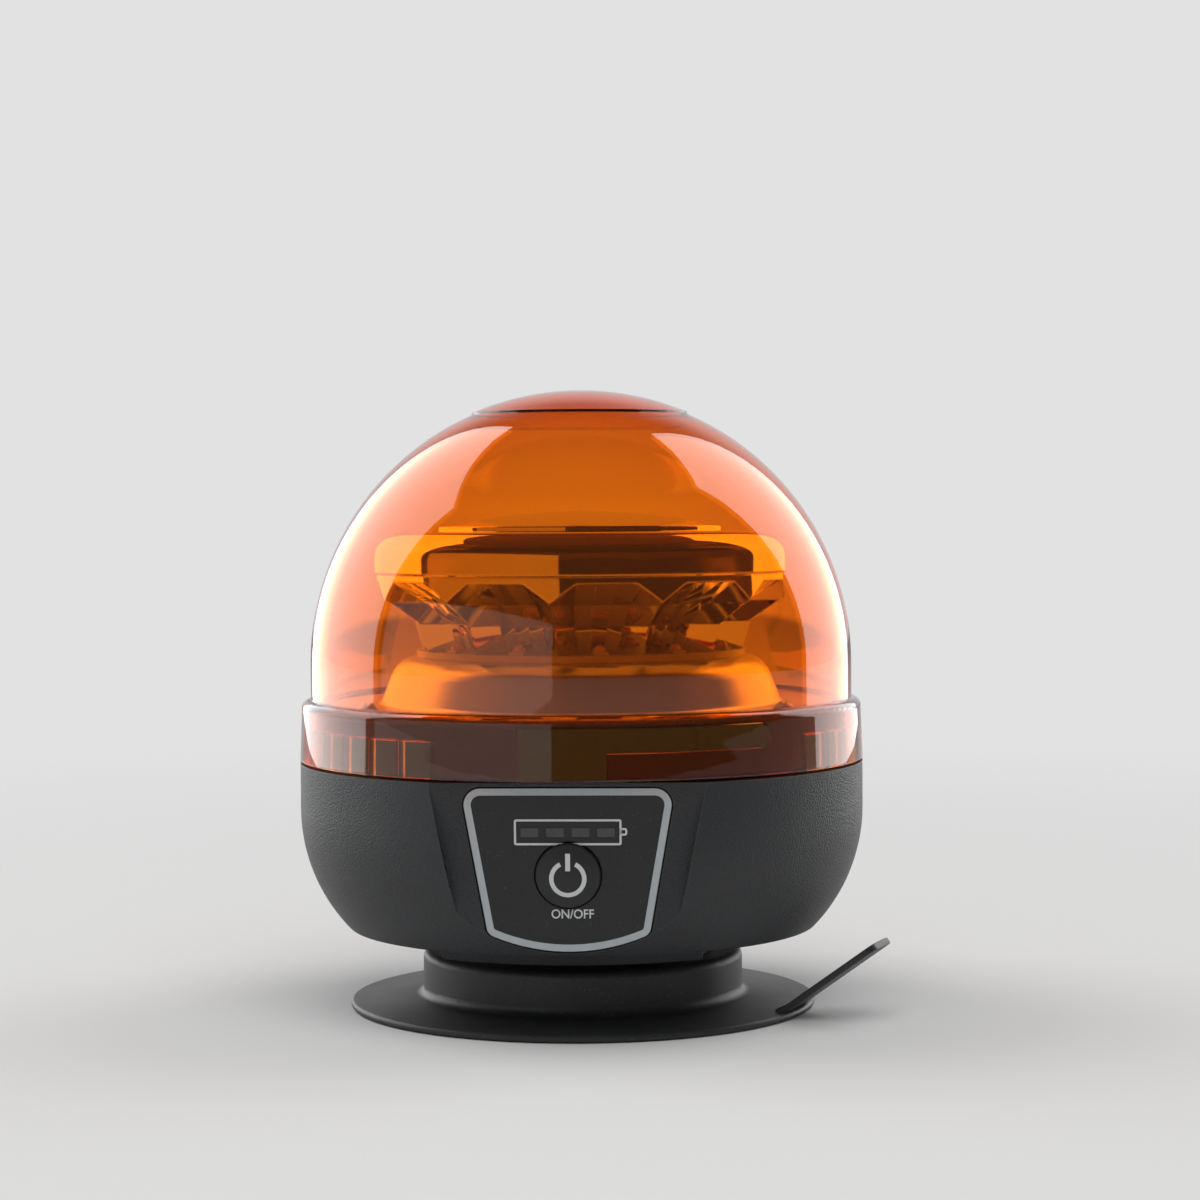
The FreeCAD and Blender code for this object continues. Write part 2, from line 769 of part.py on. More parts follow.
def cup_section(share):
    """Cup outline at a share of its height: a back of shallow flutes between two straight slanted sides."""
    z = light_board_z + share * (cup_top_z - light_board_z)
    half = cup_foot_half_width + share * (cup_top_half_width - cup_foot_half_width)
    back_face = cup_radius(z)
    spread = 2 * crown_radius - back_face
    mouth_x = back_face + spread
    mouth_y = half + spread * math.tan(math.radians(cup_side_angle))
    flute = 2 * half / cup_flutes
    edges = []
    for k in range(cup_flutes):
        flute_y = k * flute - half
        deepest = Vector(back_face - cup_flute_depth, flute_y + flute / 2, z)
        edges.append(Part.Arc(Vector(back_face, flute_y, z), deepest,
                              Vector(back_face, flute_y + flute, z)).toShape())
    corners = [
        Vector(back_face, half, z),
        Vector(mouth_x, mouth_y, z),
        Vector(mouth_x, -mouth_y, z),
        Vector(back_face, -half, z),
    ]
    for first, second in zip(corners, corners[1:]):
        edges.append(Part.LineSegment(first, second).toShape())
    return Part.Wire(edges)


cup_top_z = crown_top_z - crown_band
cup = Part.makeLoft([cup_section(share) for share in cup_row_levels], True, True)
cup.rotate(axis_point, up, cup_turn - 90)
crown = disc(crown_radius, light_board_z, crown_top_z)
crown = crown.cut(disc(crown_bore_radius, light_board_z, crown_top_z - crown_top_plate))
for solid in repeated(cup, cup_count) + crown_holes:
    crown = crown.cut(solid)
save("reflector_crown", crown)
crown_screw = plain_screw(crown_screw_radius, crown_screw_head_radius, crown_screw_head,
                          sink_sheet + board_thickness + crown_screw_depth, crown_screw_x, crown_screw_y,
                          sink_top_z - sink_sheet, False)
save("crown_screws", *repeated(crown_screw, crown_screw_count))

# Cap over the crown: rounded rim, a stepped middle disc and a low crown.
cap_radius = crown_radius + cap_overhang
cap_disc_radius = cap_radius - cap_disc_inset
cap_top_z = crown_top_z + cap_height
cap_disc_z = cap_top_z + cap_disc_step
cap_curve = (cap_disc_radius ** 2 + cap_crown_rise ** 2) / (2 * cap_crown_rise)
cap_swing = math.degrees(math.asin(cap_disc_radius / cap_curve))
cap = turned(
    (0, crown_top_z + cap_wall),
    (cap_radius - 2 * cap_wall, crown_top_z + cap_wall),
    (cap_radius - 2 * cap_wall, crown_top_z),
    (cap_radius - cap_seam_chamfer, crown_top_z),
    (cap_radius, crown_top_z + cap_seam_chamfer),
    (cap_radius, cap_top_z - cap_edge_round),
    arc_between((cap_radius - cap_edge_round, cap_top_z - cap_edge_round), cap_edge_round, 0, 90),
    (cap_disc_radius, cap_top_z),
    (cap_disc_radius, cap_disc_z),
    arc_between((0, cap_disc_z + cap_crown_rise - cap_curve), cap_curve, 90 - cap_swing, 90),
)
save("reflector_cap", cap)

# Control panel: plate in its pocket, soft button behind its hole, and a light guide in the windows.
panel = panel_blank(0, pocket_w, -panel_sink)
button_hole = Part.makeCylinder(button_radius + button_play, reach, Vector(0, 0, -reach / 2))
panel = panel.cut(button_hole)
guide_half = (charge_pitch * (charge_count - 1) + charge_width) / 2 + guide_margin
guide_low = charge_rise - charge_height / 2
guide = Part.makeBox(2 * guide_half, charge_height, guide_thickness,
                     Vector(-guide_half, guide_low, pocket_w - guide_thickness))
for k in range(charge_count):
    left = (k - (charge_count - 1) / 2) * charge_pitch - charge_width / 2
    window = Part.makeBox(charge_width + 2 * charge_play, charge_height + 2 * charge_play, reach,
                          Vector(left - charge_play, guide_low - charge_play, -reach / 2))
    panel = panel.cut(window)
    pip = Part.makeBox(charge_width, charge_height, panel_thickness, Vector(left, guide_low, pocket_w))
    guide = guide.fuse(pip)
save("control_panel", on_facet(panel))
save("charge_light_guide", on_facet(guide.removeSplitter()))

lip_top = pocket_w - button_play
lip_low = lip_top - button_lip_thickness
stem_low = lip_low - button_stem
lip_radius = button_radius + button_play + button_lip
button_curve = (button_radius ** 2 + button_crown ** 2) / (2 * button_crown)
button_swing = math.degrees(math.asin(button_radius / button_curve))
button = turned(
    (0, stem_low),
    (button_stem_radius, stem_low),
    (button_stem_radius, lip_low),
    (lip_radius, lip_low),
    (lip_radius, lip_top),
    (button_radius, lip_top),
    (button_radius, button_proud),
    arc_between((0, button_proud + button_crown - button_curve), button_curve,
                90 - button_swing, 90),
)
save("power_button", on_facet(button))

switch_top = stem_low - button_travel - button_stop_gap
switch_face = control_board_w + switch_height
switch = Part.makeBox(switch_size, switch_size, switch_height,
                      Vector(-switch_size / 2, -switch_size / 2, control_board_w))
switch_pin = Part.makeCylinder(switch_pin_radius, switch_top - switch_face, Vector(0, 0, switch_face))
switch = switch.fuse(switch_pin)
save("button_switch", on_facet(switch.removeSplitter()))

control_board_back = control_board_w - board_thickness
control_corner = Vector(-control_board_width / 2, panel_window_bottom, control_board_back)
control_board = Part.makeBox(control_board_width, control_board_height, board_thickness, control_corner)
control_screws = []
for side in (-1, 1):
    seat = Vector(side * control_post_spread, control_post_rise, control_board_back)
    hole = Part.makeCylinder(small_screw_radius + screw_play, board_thickness, seat)
    control_board = control_board.cut(hole)
    shank = Part.makeCylinder(small_screw_radius, small_screw_length, seat)
    head = Part.makeCylinder(small_screw_head_radius, small_screw_head, seat, Vector(0, 0, -1))
    control_screws.append(on_facet(head.fuse(shank).removeSplitter()))
save("control_board", on_facet(control_board))
save("control_board_screws", *control_screws)

charge_leds = []
for k in range(charge_count):
    middle = (k - (charge_count - 1) / 2) * charge_pitch
    corner = Vector(middle - control_led_width / 2, charge_rise - control_led_height / 2, control_board_w)
    led = Part.makeBox(control_led_width, control_led_height, control_led_height, corner)
    charge_leds.append(on_facet(led))
save("charge_leds", *charge_leds)

# Cells lie in a two-trough cradle on the bowl's floor, either side of the magnet bolt.
end_half = cell_length / 2 + cradle_end_room
cradle_half_x = end_half + cradle_wall
trough_outer = cell_offset + cell_radius + cradle_side_play
trough_inner = cell_offset - cell_radius - cradle_side_play
cradle_half_y = trough_outer + cradle_wall
cradle_floor_z = floor_z + cradle_floor
cradle = block(2 * cradle_half_x, 2 * cradle_half_y, cradle_height, 0, 0, floor_z)
cradle = round_edges(cradle, cradle_corner_round, lambda p, e: is_upright(e))
for side in (-1, 1):
    trough = block(2 * end_half, trough_outer - trough_inner, cradle_height, 0,
                   side * (trough_outer + trough_inner) / 2, cradle_floor_z)
    cradle = cradle.cut(trough)
middle_width = 2 * (trough_inner - cradle_wall)
middle_room = block(2 * cradle_half_x, middle_width, cradle_height, 0, 0, cradle_floor_z)
hub_room = disc(hub_radius + cradle_hub_play, floor_z, cradle_floor_z + cradle_height)
post_room = disc(chassis_post_radius + cradle_post_play, floor_z, cradle_floor_z + cradle_height,
                 chassis_x, chassis_y)
cradle = cradle.cut(middle_room).cut(hub_room).cut(repeated(post_room, chassis_screw_count))
cradle_screws = []
for side in (-1, 1):
    x = side * cradle_screw_spread
    cradle = cradle.cut(disc(small_screw_radius + screw_play, floor_z, cradle_floor_z, x))
    cradle_screw = plain_screw(small_screw_radius - screw_play, small_screw_head_radius, small_screw_head,
                               cradle_floor + cradle_hole_depth - head_play, x, 0, cradle_floor_z, True)
    cradle_screws.append(cradle_screw)
save("battery_cradle", cradle)
save("cradle_screws", *cradle_screws)

cells = []
contacts = []
for side in (-1, 1):
    middle = Vector(0, side * cell_offset, cell_z)
    can_end = cell_length / 2 - cell_nub
    along = Vector(side, 0, 0)
    can = Part.makeCylinder(cell_radius, cell_length - cell_nub, middle - along * (cell_length / 2), along)
    nub = Part.makeCylinder(cell_nub_radius, cell_nub, middle + along * can_end, along)
    cells.append(can.fuse(nub).removeSplitter())
    for end in (-1, 1):
        plate_x = end * (end_half - contact_sheet / 2)
        plate_low = cell_z - contact_size / 2
        plate = block(contact_sheet, contact_size, contact_size, plate_x, middle.y, plate_low)
        bump_foot = Vector(end * (end_half - contact_sheet), middle.y, cell_z)
        bump = Part.makeCylinder(contact_nub_radius, contact_nub, bump_foot, Vector(-end, 0, 0))
        contacts.append(plate.fuse(bump).removeSplitter())
save("battery_cells", *cells)
save("battery_contacts", *contacts)

# Driver board hung under the chassis deck.
driver_low = driver_top_z - board_thickness
driver = ring(cable_hole_radius, driver_radius, driver_low, driver_top_z)
board_hole = disc(small_screw_radius + screw_play, driver_low, driver_top_z, driver_x, driver_y)
driver = driver.cut(repeated(board_hole, driver_post_count))
save("driver_board", driver)
driver_screw = plain_screw(small_screw_radius, small_screw_head_radius, small_screw_head,
                           small_screw_length, driver_x, driver_y, driver_low, False)
save("driver_screws", *repeated(driver_screw, driver_post_count))
coil_x, coil_y = around(coil_turn, driver_part_circle)
coil = disc(coil_radius, driver_top_z, driver_top_z + coil_height, coil_x, coil_y)
chip = block(chip_size, chip_size, chip_height, -coil_x, coil_y, driver_top_z)
driver_parts = [coil, chip]
for k in range(capacitor_count):
    x, y = around(capacitor_first_turn + capacitor_step * k, driver_part_circle)
    driver_parts.append(disc(capacitor_radius, driver_top_z, driver_top_z + capacitor_height, x, y))
save("driver_parts", *driver_parts)

# Charging inlet: panel socket with a nut inside, and a hinged flap with a nub that closes its bore.
inlet = Vector(0, socket_seat_y, inlet_z)
socket = Part.makeCylinder(socket_flange_radius, socket_flange, inlet, back)
socket = socket.fuse(Part.makeCylinder(socket_barrel_radius, socket_barrel, inlet, Vector(0, -1, 0)))
bore_end = Vector(0, socket_front_y - socket_bore, inlet_z)
socket = socket.removeSplitter().cut(Part.makeCylinder(socket_bore_radius, socket_bore, bore_end, back))
socket = socket.fuse(Part.makeCylinder(socket_pin_radius, socket_bore - socket_pin_setback, bore_end, back))
save("charge_socket", socket.removeSplitter())

nut = hexagon(socket_nut_width, 0, socket_nut).cut(disc(socket_barrel_radius + screw_play, 0, socket_nut))
nut.rotate(axis_point, across, 90)
nut.translate(Vector(0, inlet_pad_y, inlet_z))
save("socket_nut", nut)

flap = Part.makeCylinder(flap_radius, flap_thickness, Vector(0, flap_inner_y, inlet_z), back)
strap = block(hinge_width, flap_thickness, hinge_rise, 0, flap_inner_y + flap_thickness / 2, inlet_z)
knuckle_end = Vector(-hinge_width / 2, hinge_y, hinge_z)
knuckle = Part.makeCylinder(hinge_knuckle_radius, hinge_width, knuckle_end, across)
nub = Part.makeCylinder(flap_nub_radius, flap_nub, Vector(0, flap_inner_y, inlet_z), Vector(0, -1, 0))
lip_z = inlet_z - flap_radius
lip_reach = flap_thickness + flap_lip
lip = block(hinge_width, lip_reach, flap_lip, 0, flap_inner_y + lip_reach / 2, lip_z)
flap = flap.multiFuse([strap, knuckle, nub, lip]).removeSplitter()
pin_room = Part.makeCylinder(hinge_pin_radius + hinge_play, 2 * pin_half, pin_end, across)
save("port_flap", flap.cut(pin_room))
save("flap_pin", flap_pin)

# Magnet: steel pot with a ferrite ring, bolted through the bowl's floor.
pot = disc(pot_radius, pot_bottom_z, pot_top_z)
pot = pot.cut(ring(pot_pole_radius, pot_radius - pot_rim, pot_bottom_z, pot_top_z - pot_back))
bolt_tip_z = pot_top_z - bolt_depth
pot = pot.cut(disc(bolt_radius + screw_play, bolt_tip_z, pot_top_z))
save("magnet_cup", pot)
groove_outer = pot_radius - pot_rim
groove_top_z = pot_top_z - pot_back
magnet = ring(pot_pole_radius + magnet_inset, groove_outer - magnet_inset,
              pot_bottom_z + magnet_inset, groove_top_z)
save("ring_magnet", magnet)
bolt = disc(bolt_radius, bolt_tip_z + screw_play, washer_top_z)
bolt = bolt.fuse(hexagon(bolt_head_width, washer_top_z, washer_top_z + bolt_head)).removeSplitter()
save("magnet_bolt", bolt)
save("bolt_washer", ring(bolt_radius + bolt_hole_play, washer_radius, hub_top_z, washer_top_z))

# Rubber foot: a cup that grips the pot, with a wide flange that lies flat on the surface.
edge_half = boot_edge / 2
fillet_foot = boot_collar_radius + boot_collar_fillet
boot = turned(
    (0, 0),
    (boot_radius - edge_half, 0),
    arc_between((boot_radius - edge_half, edge_half), edge_half, -90, 90),
    (fillet_foot, boot_flange_rise),
    arc_between((fillet_foot, boot_flange_rise + boot_collar_fillet), boot_collar_fillet, 270, 180),
    (boot_collar_radius, boot_top_z - boot_rim_round),
    arc_between((boot_collar_radius - boot_rim_round, boot_top_z - boot_rim_round), boot_rim_round, 0, 90),
    (boot_pocket_radius - boot_lip, boot_top_z),
    (boot_pocket_radius - boot_lip, boot_lip_z),
    (boot_pocket_radius, boot_lip_z),
    (boot_pocket_radius, boot_floor),
    (0, boot_floor),
)
save("rubber_boot", boot)

# Lift tab: a flat tongue with a blunt end, rooted just above the flange and rising outwards.
flange_slope = (boot_flange_rise - boot_edge) / (boot_radius - edge_half - fillet_foot)
flange_top_z = boot_edge + flange_slope * (boot_radius - edge_half - tab_root_radius)
tab_root_z = flange_top_z + tab_gap + tab_thickness / 2
half_width = tab_width / 2
half_thick = tab_thickness / 2
tongue = Part.makeBox(tab_length, tab_width, tab_thickness, Vector(0, -half_width, -half_thick))
tongue = round_edges(tongue, tab_corner_round, lambda p, e: is_upright(e) and p.x > tab_length / 2)
root = Part.makeCylinder(half_thick, tab_width, Vector(0, -half_width, 0), back)
tab = tongue.fuse(root).removeSplitter()
tab.rotate(axis_point, back, -tab_rise_angle)
tab.translate(Vector(tab_root_radius, 0, tab_root_z))
tab.rotate(axis_point, up, tab_angle)
save("lift_tab", tab)
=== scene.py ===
import json
import math

import bmesh
import bpy
import numpy as np
from mathutils import Matrix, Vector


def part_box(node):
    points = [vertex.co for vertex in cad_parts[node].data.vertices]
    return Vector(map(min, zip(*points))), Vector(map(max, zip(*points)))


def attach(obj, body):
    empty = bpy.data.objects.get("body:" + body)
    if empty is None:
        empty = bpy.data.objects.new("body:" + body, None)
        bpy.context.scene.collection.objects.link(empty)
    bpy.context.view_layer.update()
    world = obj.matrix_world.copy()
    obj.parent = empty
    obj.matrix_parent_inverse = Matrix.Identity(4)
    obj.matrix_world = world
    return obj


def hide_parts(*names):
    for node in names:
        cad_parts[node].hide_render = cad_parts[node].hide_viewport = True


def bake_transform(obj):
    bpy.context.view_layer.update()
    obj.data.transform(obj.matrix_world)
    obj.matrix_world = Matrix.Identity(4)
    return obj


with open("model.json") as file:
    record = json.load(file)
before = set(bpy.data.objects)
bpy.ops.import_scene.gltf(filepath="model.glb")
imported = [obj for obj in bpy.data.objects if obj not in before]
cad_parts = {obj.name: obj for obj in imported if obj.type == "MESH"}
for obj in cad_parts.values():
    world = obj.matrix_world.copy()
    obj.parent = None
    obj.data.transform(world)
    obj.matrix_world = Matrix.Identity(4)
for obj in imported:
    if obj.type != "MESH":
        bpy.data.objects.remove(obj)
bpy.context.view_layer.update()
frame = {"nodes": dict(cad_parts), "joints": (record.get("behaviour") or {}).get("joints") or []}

# Magnet foot: a zinc-plated steel pot with a ferrite ring bonded into its groove.
# One hexagon bolt with a washer pulls it up against the bowl's floor, and the same plated
# steel makes the small screws, the inlet's nut and the flap's hinge pin.


def add_node(tree, kind, inputs=(), **settings):
    """New shader node: an input given as a socket is linked, any other value is set on that input."""
    node = tree.nodes.new(kind)
    for name, value in settings.items():
        setattr(node, name, value)
    for name, value in dict(inputs).items():
        if isinstance(value, bpy.types.NodeSocket):
            tree.links.new(value, node.inputs[name])
        else:
            node.inputs[name].default_value = value
    return node


def noise(tree, rate, detail, roughness=0.5):
    """Noise over the piece's own coordinates, with its rate in waves per metre."""
    place = add_node(tree, "ShaderNodeTexCoord").outputs["Object"]
    inputs = {"Vector": place, "Scale": rate, "Detail": detail, "Roughness": roughness}
    return add_node(tree, "ShaderNodeTexNoise", inputs).outputs[0]


def rate_of(tree, size):
    """Waves per metre of a pattern whose waves have a given size: one divided by the size."""
    return add_node(tree, "ShaderNodeMath", {0: 1.0, 1: size}, operation="DIVIDE").outputs[0]


def times(tree, first, second):
    """Product of two values."""
    return add_node(tree, "ShaderNodeMath", {0: first, 1: second}, operation="MULTIPLY").outputs[0]


def new_effect(name, inputs, outputs):
    """Shader node group with named sockets; gives the group, its input node and its output node."""
    group = bpy.data.node_groups.new(name, "ShaderNodeTree")
    for socket, value in inputs.items():
        made = group.interface.new_socket(socket, in_out="INPUT", socket_type="NodeSocketFloat")
        made.default_value = value
    for socket, kind in outputs.items():
        group.interface.new_socket(socket, in_out="OUTPUT", socket_type=kind)
    return group, group.nodes.new("NodeGroupInput"), group.nodes.new("NodeGroupOutput")


def use_effect(tree, group, **values):
    """Places a shared effect in a material with its own values."""
    node = tree.nodes.new("ShaderNodeGroup")
    node.node_tree = group
    for name, value in values.items():
        node.inputs[name].default_value = value
    return node.outputs


# Shared effect: broad smudges from hands and wiping, and sparse specks of dust.
marks, marks_in, marks_out = new_effect("handling_marks", {"Size": 0.02},
                                        {"Smudge": "NodeSocketFloat", "Dust": "NodeSocketFloat"})
smudge = noise(marks, rate_of(marks, marks_in.outputs["Size"]), detail=5.0, roughness=0.6)
speck = noise(marks, rate=1900.0, detail=1.0)
speck_cut = add_node(marks, "ShaderNodeMapRange", {"Value": speck, "From Min": 0.68, "From Max": 0.78})
marks.links.new(smudge, marks_out.inputs["Smudge"])
marks.links.new(times(marks, speck_cut.outputs[0], smudge), marks_out.inputs["Dust"])

# Shared effect: moulded and pressed edges are never knife sharp, so light rolls over them. It also gives a
# mask of those edges, used to paint them lighter: partly rubbed wear, partly a painted edge highlight.
edges, edges_in, edges_out = new_effect("soft_edges", {"Radius": 0.0003},
                                        {"Normal": "NodeSocketVector", "Edge_wear_highlight": "NodeSocketFloat"})
rolled = add_node(edges, "ShaderNodeBevel", {"Radius": edges_in.outputs["Radius"]}, samples=4).outputs[0]
flat = add_node(edges, "ShaderNodeNewGeometry").outputs["Normal"]
facing = add_node(edges, "ShaderNodeVectorMath", {0: rolled, 1: flat}, operation="DOT_PRODUCT")
# Mask of the rolled edges; where it is used, edges are painted lighter as rubbed wear and as a painted edge
# highlight.
worn_highlit_edge = add_node(edges, "ShaderNodeMapRange",
               {"Value": facing.outputs["Value"], "From Min": 0.998, "From Max": 0.93})
edges.links.new(rolled, edges_out.inputs["Normal"])
edges.links.new(worn_highlit_edge.outputs[0], edges_out.inputs["Edge_wear_highlight"])


def new_finish(name):
    """Node material that holds one Principled shader; gives the material, its tree and that shader."""
    material = bpy.data.materials.new(name)
    material.use_nodes = True
    return material, material.node_tree, material.node_tree.nodes["Principled BSDF"]


def tinted(tree, share, first, second):
    """Colour that runs from the first, a colour or a socket, to the second as a share runs from 0 to 1."""
    start = first if isinstance(first, bpy.types.NodeSocket) else (*first, 1)
    mix = add_node(tree, "ShaderNodeMix", {0: share, 6: start, 7: (*second, 1)}, data_type="RGBA")
    return mix.outputs[2]


def paint(tree, shader, share, first, second):
    """Base colour that runs from the first to the second as a share runs from 0 to 1."""
    tree.links.new(tinted(tree, share, first, second), shader.inputs["Base Color"])


def roughen(tree, shader, share, low, high):
    """Roughness that runs from low to high as a share runs from 0 to 1."""
    rough = add_node(tree, "ShaderNodeMapRange", {"Value": share, "To Min": low, "To Max": high})
    tree.links.new(rough.outputs[0], shader.inputs["Roughness"])


def handled_finish(name, smudges, colours, roughness):
    """Finish with smudges of a size, whose colour and roughness run between two values with them;
    gives the material, its tree and its shader."""
    material, tree, shader = new_finish(name)
    smudge = use_effect(tree, marks, Size=smudges)["Smudge"]
    paint(tree, shader, smudge, *colours)
    roughen(tree, shader, smudge, *roughness)
    return material, tree, shader


def put_on(material, *names):
    """Gives a finish to CAD nodes, in every slot that they have."""
    for name in names:
        for slot in frame["nodes"][name].material_slots:
            slot.material = material


zinc, tree, shader = handled_finish("zinc_plated_steel", smudges=0.004, roughness=(0.22, 0.48),
                                    colours=((0.42, 0.42, 0.41), (0.62, 0.61, 0.56)))
tree.links.new(use_effect(tree, edges, Radius=0.0002)["Normal"], shader.inputs["Normal"])
shader.inputs["Metallic"].default_value = 1.0
put_on(zinc, "magnet_cup", "magnet_bolt", "bolt_washer", "chassis_screws", "crown_screws", "flap_pin")
put_on(zinc, "cradle_screws", "driver_screws", "control_board_screws", "socket_nut")

ferrite, tree, shader = new_finish("sintered_ferrite")
grit = noise(tree, rate=4000.0, detail=3.0)
paint(tree, shader, grit, (0.03, 0.03, 0.032), (0.09, 0.088, 0.085))
roughen(tree, shader, grit, 0.55, 0.85)
put_on(ferrite, "ring_magnet")

# Rubber foot: a soft black cup moulded over the pot, with a wide thin flange that lies on the roof.
# The skin is smooth and satin, with a faint bloom where it has been handled; the lens seal
# and the inlet's flap are moulded from the same rubber.


def bumped(tree, height, strength, depth, normal=None):
    """Normal of a surface with a relief of a depth on it, laid over another normal where one is given."""
    inputs = {"Height": height, "Strength": strength, "Distance": depth}
    if normal is not None:
        inputs["Normal"] = normal
    return add_node(tree, "ShaderNodeBump", inputs).outputs[0]


rubber, tree, shader = new_finish("satin_rubber")
mark = use_effect(tree, marks, Size=0.03)
bloom = tinted(tree, mark["Smudge"], (0.013, 0.014, 0.015), (0.028, 0.029, 0.031))
paint(tree, shader, mark["Dust"], bloom, (0.16, 0.155, 0.15))
roughen(tree, shader, mark["Smudge"], 0.36, 0.58)
skin = bumped(tree, noise(tree, rate=2600.0, detail=2.0), strength=0.25, depth=0.00003,
              normal=use_effect(tree, edges, Radius=0.0003)["Normal"])
tree.links.new(skin, shader.inputs["Normal"])
put_on(rubber, "rubber_boot", "lens_seal", "port_flap")

# Lift tab: a tongue of the same rubber that grows out of the flange, to peel the magnet off a roof.
# It is cut off blunt and is a little thicker where it leaves the flange.
tab_length = 0.0249
tab_half_width = 0.007
tab_half_thick = 0.0008
tab_rise = math.radians(36)
tab_sunk = 0.0026
tab_root_flare = 0.0005
tab_flare_reach = 0.0018
tab_squareness = 7.0
tab_corner = 0.0025
tab_rows = 70
tab_row_easing = 1.8
tab_columns = 56


def full_turn(steps):
    """Angles evenly spaced round a full turn, the first not repeated at the end."""
    return np.linspace(0, 2 * math.pi, steps, endpoint=False)


def grid_quads(index):
    """Corners of the quads between neighbouring lines of a grid of point numbers."""
    return np.stack([index[:-1, :-1], index[1:, :-1], index[1:, 1:], index[:-1, 1:]], axis=-1).reshape(-1, 4)


def grid_mesh(name, points, wrap_rows=False, wrap_columns=False, sharp=40):
    """Quads over a grid of points (rows, columns, 3); a wrapped way joins its last line to its first,
    rows left open are closed by one flat face at each end, and lines that meet in a point are merged."""
    merge_distance = 1e-7
    rows, columns = points.shape[:2]
    index = np.arange(rows * columns).reshape(rows, columns)
    caps = [] if wrap_rows else [index[0].tolist(), index[-1].tolist()]
    if wrap_rows:
        index = np.vstack([index, index[:1]])
    if wrap_columns:
        index = np.hstack([index, index[:, :1]])
    mesh = bpy.data.meshes.new(name)
    mesh.from_pydata(points.reshape(-1, 3).tolist(), [], grid_quads(index).tolist() + caps)
    work = bmesh.new()
    work.from_mesh(mesh)
    bmesh.ops.remove_doubles(work, verts=work.verts, dist=merge_distance)
    bmesh.ops.dissolve_degenerate(work, edges=work.edges, dist=merge_distance)
    bmesh.ops.recalc_face_normals(work, faces=work.faces)
    work.to_mesh(mesh)
    work.free()
    mesh.shade_smooth()
    mesh.set_sharp_from_angle(angle=math.radians(sharp))
    return mesh


def put_in_scene(name, data):
    """New object for a mesh, a text, a lamp or a camera, linked into the scene."""
    thing = bpy.data.objects.new(name, data)
    bpy.context.scene.collection.objects.link(thing)
    return thing


def add_piece(name, mesh, material):
    """New object at the origin for a finished mesh, with its finish."""
    mesh.materials.append(material)
    piece = put_in_scene(name, mesh)
    return piece


def joint_named(name):
    """The frame's joint of that name."""
    return next(joint for joint in frame["joints"] if joint["name"] == name)


def tongue(along, around):
    """Tab in its own axes (out, across, up): at each length the section is a squared-off oval.
    The half width is constant, then falls as a quarter circle at each corner of the blunt end;
    the root flares as a bell curve."""
    past = np.clip(along - (tab_length - tab_corner), 0, tab_corner)
    width = tab_half_width - tab_corner + np.sqrt(tab_corner ** 2 - past ** 2)
    flare = np.exp(-((along + tab_sunk) / tab_flare_reach) ** 2)
    thick = tab_half_thick + tab_root_flare * flare
    power = 2 / tab_squareness
    across = np.sign(np.cos(around)) * np.abs(np.cos(around)) ** power
    up = np.sign(np.sin(around)) * np.abs(np.sin(around)) ** power
    width = width + tab_root_flare * flare
    return np.stack([along + 0 * across, width * across, thick * up], axis=-1)


tab_root = np.array(joint_named("tab_flex")["pos_m"])
tab_out = np.array([tab_root[0], tab_root[1], 0]) / np.hypot(tab_root[0], tab_root[1])
tab_up = np.array([0.0, 0.0, 1.0])
tab_along = math.cos(tab_rise) * tab_out + math.sin(tab_rise) * tab_up
tab_across = np.cross(tab_up, tab_out)
tab_normal = np.cross(tab_along, tab_across)
eased = 1 - (1 - np.linspace(0, 1, tab_rows)) ** tab_row_easing
tab_grid = tongue((-tab_sunk + (tab_length + tab_sunk) * eased)[:, None], full_turn(tab_columns))
tab_points = tab_root + tab_grid @ np.stack([tab_along, tab_across, tab_normal])
lift_tab = add_piece("rubber_lift_tab", grid_mesh("rubber_lift_tab", tab_points, wrap_columns=True),
                     rubber)
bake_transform(lift_tab)
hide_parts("lift_tab")

# Base bowl: injection-moulded black plastic with a coarse spark-eroded grain all over.
# Its front is cut flat for the panel, and bosses inside take the chassis screws. The chassis,
# the cell cradle and the inlet are moulded from the same plastic with a smooth face.

# Shared effect: spark-eroded grain as a relief of rounded cells, with a slow drift of tone.
grain, grain_in, grain_out = new_effect("moulded_grain", {"Cell": 0.0008},
                                        {"Height": "NodeSocketFloat", "Tone": "NodeSocketFloat"})
grain_place = add_node(grain, "ShaderNodeTexCoord").outputs["Object"]
grain_rate = rate_of(grain, grain_in.outputs["Cell"])
bumps = add_node(grain, "ShaderNodeTexVoronoi",
                 {"Vector": grain_place, "Scale": grain_rate, "Smoothness": 0.7}, feature="SMOOTH_F1")
ripple = noise(grain, grain_rate, detail=3.0)
relief = add_node(grain, "ShaderNodeMath", {0: ripple, 1: bumps.outputs["Distance"]}, operation="SUBTRACT")
grain.links.new(relief.outputs[0], grain_out.inputs["Height"])
grain.links.new(noise(grain, rate=60.0, detail=3.0), grain_out.inputs["Tone"])

plastic, tree, shader = new_finish("grained_black_plastic")
mark = use_effect(tree, marks, Size=0.05)
cell = use_effect(tree, grain, Cell=0.0004)
edge = use_effect(tree, edges, Radius=0.0004)
tone = tinted(tree, cell["Tone"], (0.016, 0.0175, 0.020), (0.026, 0.028, 0.031))
# Edges painted lighter where the smudge noise is high: partly rubbed wear, partly a painted edge highlight.
paint(tree, shader, times(tree, edge["Edge_wear_highlight"], mark["Smudge"]), tone, (0.075, 0.077, 0.08))
roughen(tree, shader, mark["Smudge"], 0.40, 0.56)
eroded = bumped(tree, cell["Height"], strength=0.9, depth=0.00014, normal=edge["Normal"])
tree.links.new(eroded, shader.inputs["Normal"])
put_on(plastic, "base_housing")

